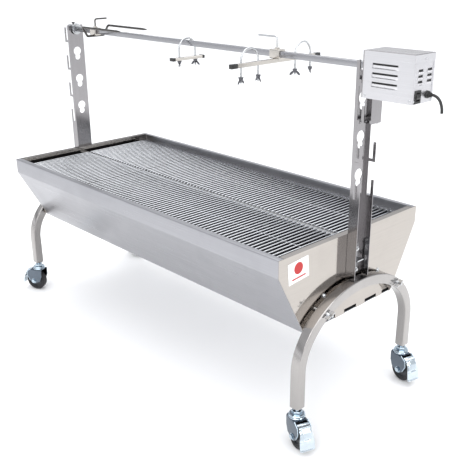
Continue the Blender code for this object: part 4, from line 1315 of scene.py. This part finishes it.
@dataclass
class Caster:
    """One braked swivel caster, shaped along X from its kingpin and then turned to its heading."""

    key: str
    wheel_radius: float = 0.040
    trail: float = 0.016
    half_fork: float = 0.020
    sheet: float = 0.0024
    head_z: float = 0.095
    leading: tuple = ((0.0288, 0.0120), (0.0300, 0.0080), (0.040, -0.0120), (0.060, -0.0205),
                      (0.091, -0.0215))
    trailing: tuple = ((0.0288, 0.0200), (0.0300, 0.0230), (0.040, 0.0340), (0.061, 0.0458), (0.080, 0.0430),
                       (0.091, 0.0250))
    pedal_line: tuple = ((0.0340, 0, 0.0848), (0.0472, 0, 0.0828), (0.0568, 0, 0.0714), (0.0626, 0, 0.0556),
                         (0.0650, 0, 0.0400), (0.0662, 0, 0.0286), (0.0692, 0, 0.0228))

    def stand(self) -> Matrix:
        """Where the caster stands: the kingpin's foot on the floor, turned the way it trails.

        Returns:
            The matrix that carries the caster there.
        """
        pin = Vector(joint(f"caster_swivel_{self.key}")["pos_m"])
        hub = Vector(joint(f"wheel_roll_{self.key}")["pos_m"])
        heading = math.atan2(hub[1] - pin[1], hub[0] - pin[0])
        return Matrix.Translation((pin[0], pin[1], 0)) @ Matrix.Rotation(heading, 4, "Z")

    def hub_place(self) -> Matrix:
        """The matrix that lays something made along Z onto the axle."""
        return Matrix.Translation((self.trail, 0, self.wheel_radius)) @ Matrix.Rotation(math.pi / 2, 4, "X")

    def wheel(self) -> tuple[Surface, Surface, Surface]:
        """Tyre, hub and bearing caps, turned about the axle.

        Returns:
            The three surfaces.
        """
        r = self.wheel_radius
        t = np.linspace(-1, 1, 15)
        tread = np.stack([r - 0.0042 * np.abs(t) ** 5, 0.0135 * t], 1)
        wall = [(0.0290, 0.0118), (0.0290, -0.0118)]
        tyre = ring_turned(np.concatenate([tread, wall]), 72)
        half = [(0.0286, 0.0085), (0.0272, 0.0110), (0.0250, 0.0112), (0.0235, 0.0075), (0.0150, 0.0070),
                (0.0125, 0.0120), (0.0090, 0.0128), (0.0046, 0.0128)]
        hub = ring_turned(np.array(half + [(x, -y) for x, y in reversed(half)]), 48)
        caps = [turned([(0.0046, 0.0126), (0.0082, 0.0129), (0.0082, 0.0146), (0.0046, 0.0150)], 24)]
        caps.append(caps[0].moved(Matrix.Rotation(math.pi, 4, "X")))
        place = self.hub_place()
        return tyre.moved(place), hub.moved(place), joined(*caps).moved(place)

    def yoke(self) -> Surface:
        """The pressed fork: a strip bent over the wheel in the YZ plane.

        At each point of the bend the strip runs along X from its leading edge to its trailing edge, which are
        the cheek's outline read at that height. It swells outwards as a parabola of the place between them.

        Returns:
            The fork.
        """
        h, top, low = self.half_fork, 0.0905, 0.0288
        corners = [(0, -h, low), (0, -h, top), (0, h, top), (0, h, low)]
        line = resampled(rounded_path(corners, 0.006, 8), 0.0014)
        z = line[:, 2]
        edges = [np.interp(z, *np.array(side).T) for side in (self.leading, self.trailing)]
        v = np.linspace(0, 1, 17)
        x = edges[0][:, None] * (1 - v) + edges[1][:, None] * v
        grid = np.stack([x, np.broadcast_to(line[:, 1:2], x.shape), np.broadcast_to(z[:, None], x.shape)], -1)
        ahead = headings(line)
        out = np.cross([1.0, 0, 0], ahead)[:, None]
        out *= np.sign((out[:, 0] * [0, 1, 0] * line).sum() or 1)
        crown = (0.0030 * v * (1 - v))[None, :, None] * out
        outer, inner = grid + out * self.sheet / 2 + crown, grid - out * self.sheet / 2
        return capped(np.concatenate([outer, inner[:, ::-1]], 1))

    def edges(self) -> Surface:
        """The rolled rim along each cheek's trailing edge.

        Returns:
            Both rims.
        """
        reach = self.half_fork + 0.0004
        lines = [np.array([(x, side * reach, z) for z, x in self.trailing[2:]]) for side in (-1, 1)]
        return joined(*[carried(circle(0.0014, 8), resampled(line, 0.002), (0, 1, 0)) for line in lines])

    def head(self, top: float) -> Surface:
        """The swivel head's two races, the kingpin and its nut.

        Args:
            top: how high the kingpin reaches.
        Returns:
            The head.
        """
        z = self.head_z
        lower = turned([(0.0205, z - 0.0050), (0.0228, z - 0.0036), (0.0230, z - 0.0018), (0.0216, z),
                        (0.0150, z + 0.0006)], 40)
        upper = turned([(0.0195, z + 0.0004), (0.0224, z + 0.0014), (0.0228, z + 0.0036),
                        (0.0205, z + 0.0060), (0.0120, z + 0.0070)], 40)
        nut = prism(0.0150, 0.0086).shifted(z=z + 0.0066)
        pin = turned([(0.0060, z + 0.0120), (0.0060, top)], 20)
        rivet = turned([(0.0060, z - 0.0082), (0.0062, z - 0.0070), (0.0060, z - 0.0050)], 20)
        return joined(lower, upper, nut, pin, rivet)

    def axle(self) -> Surface:
        """The axle bolt with a nut and washer at each end.

        Returns:
            The axle.
        """
        reach = self.half_fork + self.sheet / 2
        bar = turned([(0.0034, -reach - 0.0050), (0.0040, -reach - 0.0044), (0.0040, reach + 0.0044),
                      (0.0034, reach + 0.0050)], 16)
        parts = [bar]
        for side in (-1, 1):
            nut = prism(0.0080, 0.0046).shifted(z=reach + 0.0012)
            washer = turned([(0.0098, reach - 0.0001), (0.0098, reach + 0.0013)], 24)
            flip = Matrix.Rotation(math.pi if side < 0 else 0, 4, "X")
            parts += [nut.moved(flip), washer.moved(flip)]
        return joined(*parts).moved(self.hub_place())

    def pedal(self) -> Surface:
        """The brake pedal: a bent plate whose line is carried across Y, widened, stepped and crowned.

        The line runs from the pivot over the wheel and down its trailing side, and turns out at its foot.
        The half width grows as a smooth step of the way along, the plate sinks at its edges as a high power
        of the width, a smooth step lifts its lower half, and a bell curve sinks a groove above that.

        Returns:
            The plate, its toe tab and the barrel that it turns on.
        """
        line = resampled(rounded_path(self.pedal_line, 0.010, 6), 0.0009)
        ahead = headings(line)
        out = np.cross(ahead, [0, 1.0, 0])
        out *= np.sign((out @ np.array([1.0, 0, 1.0])).sum())
        s = np.linspace(0, 1, len(line))
        v = np.linspace(-1, 1, 23)
        rise = 1 / (1 + np.exp(-(s - 0.20) * 60))
        widen = 1 / (1 + np.exp(-(s - 0.52) * 14))
        half = 0.0176 + 0.0050 * widen - 0.0016 * np.clip((s - 0.965) / 0.035, 0, 1) ** 2
        sink = -0.0026 * np.abs(v)[None] ** 6 * rise[:, None]
        step = 0.0010 / (1 + np.exp(-(s - 0.66) * 60))
        groove = -0.0016 * np.exp(-((s - 0.60) / 0.020) ** 2)
        middle_share = np.clip(1 - (v / 0.62) ** 4, 0, 1)
        lift = (sink + step[:, None] + groove[:, None] * middle_share[None])[..., None]
        across = np.array([0, 1.0, 0]) * (half[:, None] * v[None])[..., None]
        outer = line[:, None] + across + out[:, None] * lift
        inner = outer - out[:, None] * 0.0018
        plate = capped(np.concatenate([outer, inner[:, ::-1]], 1))
        tab = block((0.013, 0.018, 0.0028), (0, 0, 0), 0.0013)
        tab = tab.moved(Matrix.Rotation(math.radians(50), 4, "Y")).shifted(0.0530, 0, 0.0770)
        barrel = turned([(0.0040, -0.0176), (0.0044, -0.0170), (0.0044, 0.0170), (0.0040, 0.0176)], 20)
        barrel = barrel.moved(Matrix.Rotation(math.pi / 2, 4, "X")).shifted(0.0340, 0, 0.0830)
        return joined(plate, tab, barrel)

    def build(self) -> None:
        """The caster's pieces, each on its own body."""
        stand, key = self.stand(), self.key
        tyre, hub, caps = (part.moved(stand) for part in self.wheel())
        piece(f"tyre_{key}", tyre, TYRE, f"wheel_{key}", f"caster_wheel_{key}")
        piece(f"hub_{key}", hub, HUB, f"wheel_{key}")
        piece(f"bearing_caps_{key}", caps, ZINC, f"wheel_{key}")
        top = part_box(f"caster_fork_{key}")[1][2]
        yoke = self.yoke().moved(stand)
        # The cheeks' dark blue-grey is painted reflection.
        piece(f"caster_yoke_{key}", yoke, YOKE_PAINTED_REFLECTION, f"caster_{key}", f"caster_fork_{key}")
        fittings = joined(self.head(top), self.axle(), self.edges())
        piece(f"caster_head_{key}", fittings.moved(stand), ZINC, f"caster_{key}")
        plate = self.pedal().moved(stand)
        piece(f"brake_plate_{key}", plate, PEDAL_PAINTED_REFLECTION, f"pedal_{key}", f"brake_pedal_{key}")


def main() -> None:
    """Builds the studio and the roaster's sub-assemblies in order."""
    logging.basicConfig(level=logging.INFO, format="%(name)s: %(message)s")
    studio = Studio()
    studio.camera()
    motor = Motor()
    motor.cord()
    studio.lights()
    studio.surround()
    studio.floor()
    Trough().build()
    for key in ("front_left", "front_right", "back_left", "back_right"):
        Grate(key).build()
    for end in ("left", "right"):
        Leg(end).build()
    dress(["post_left", "post_right"], POST_STEEL)
    dress([f"post_bolts_{end}" for end in ("left", "right")], BRIGHT)
    dress([f"arch_bolt_{end}_{row}" for end in ("left", "right") for row in ("front", "back")], BRIGHT)
    Spit().build()
    motor.build()
    for key in ("fl", "bl", "fr", "br"):
        Caster(key).build()


if __name__ == "__main__":
    main()
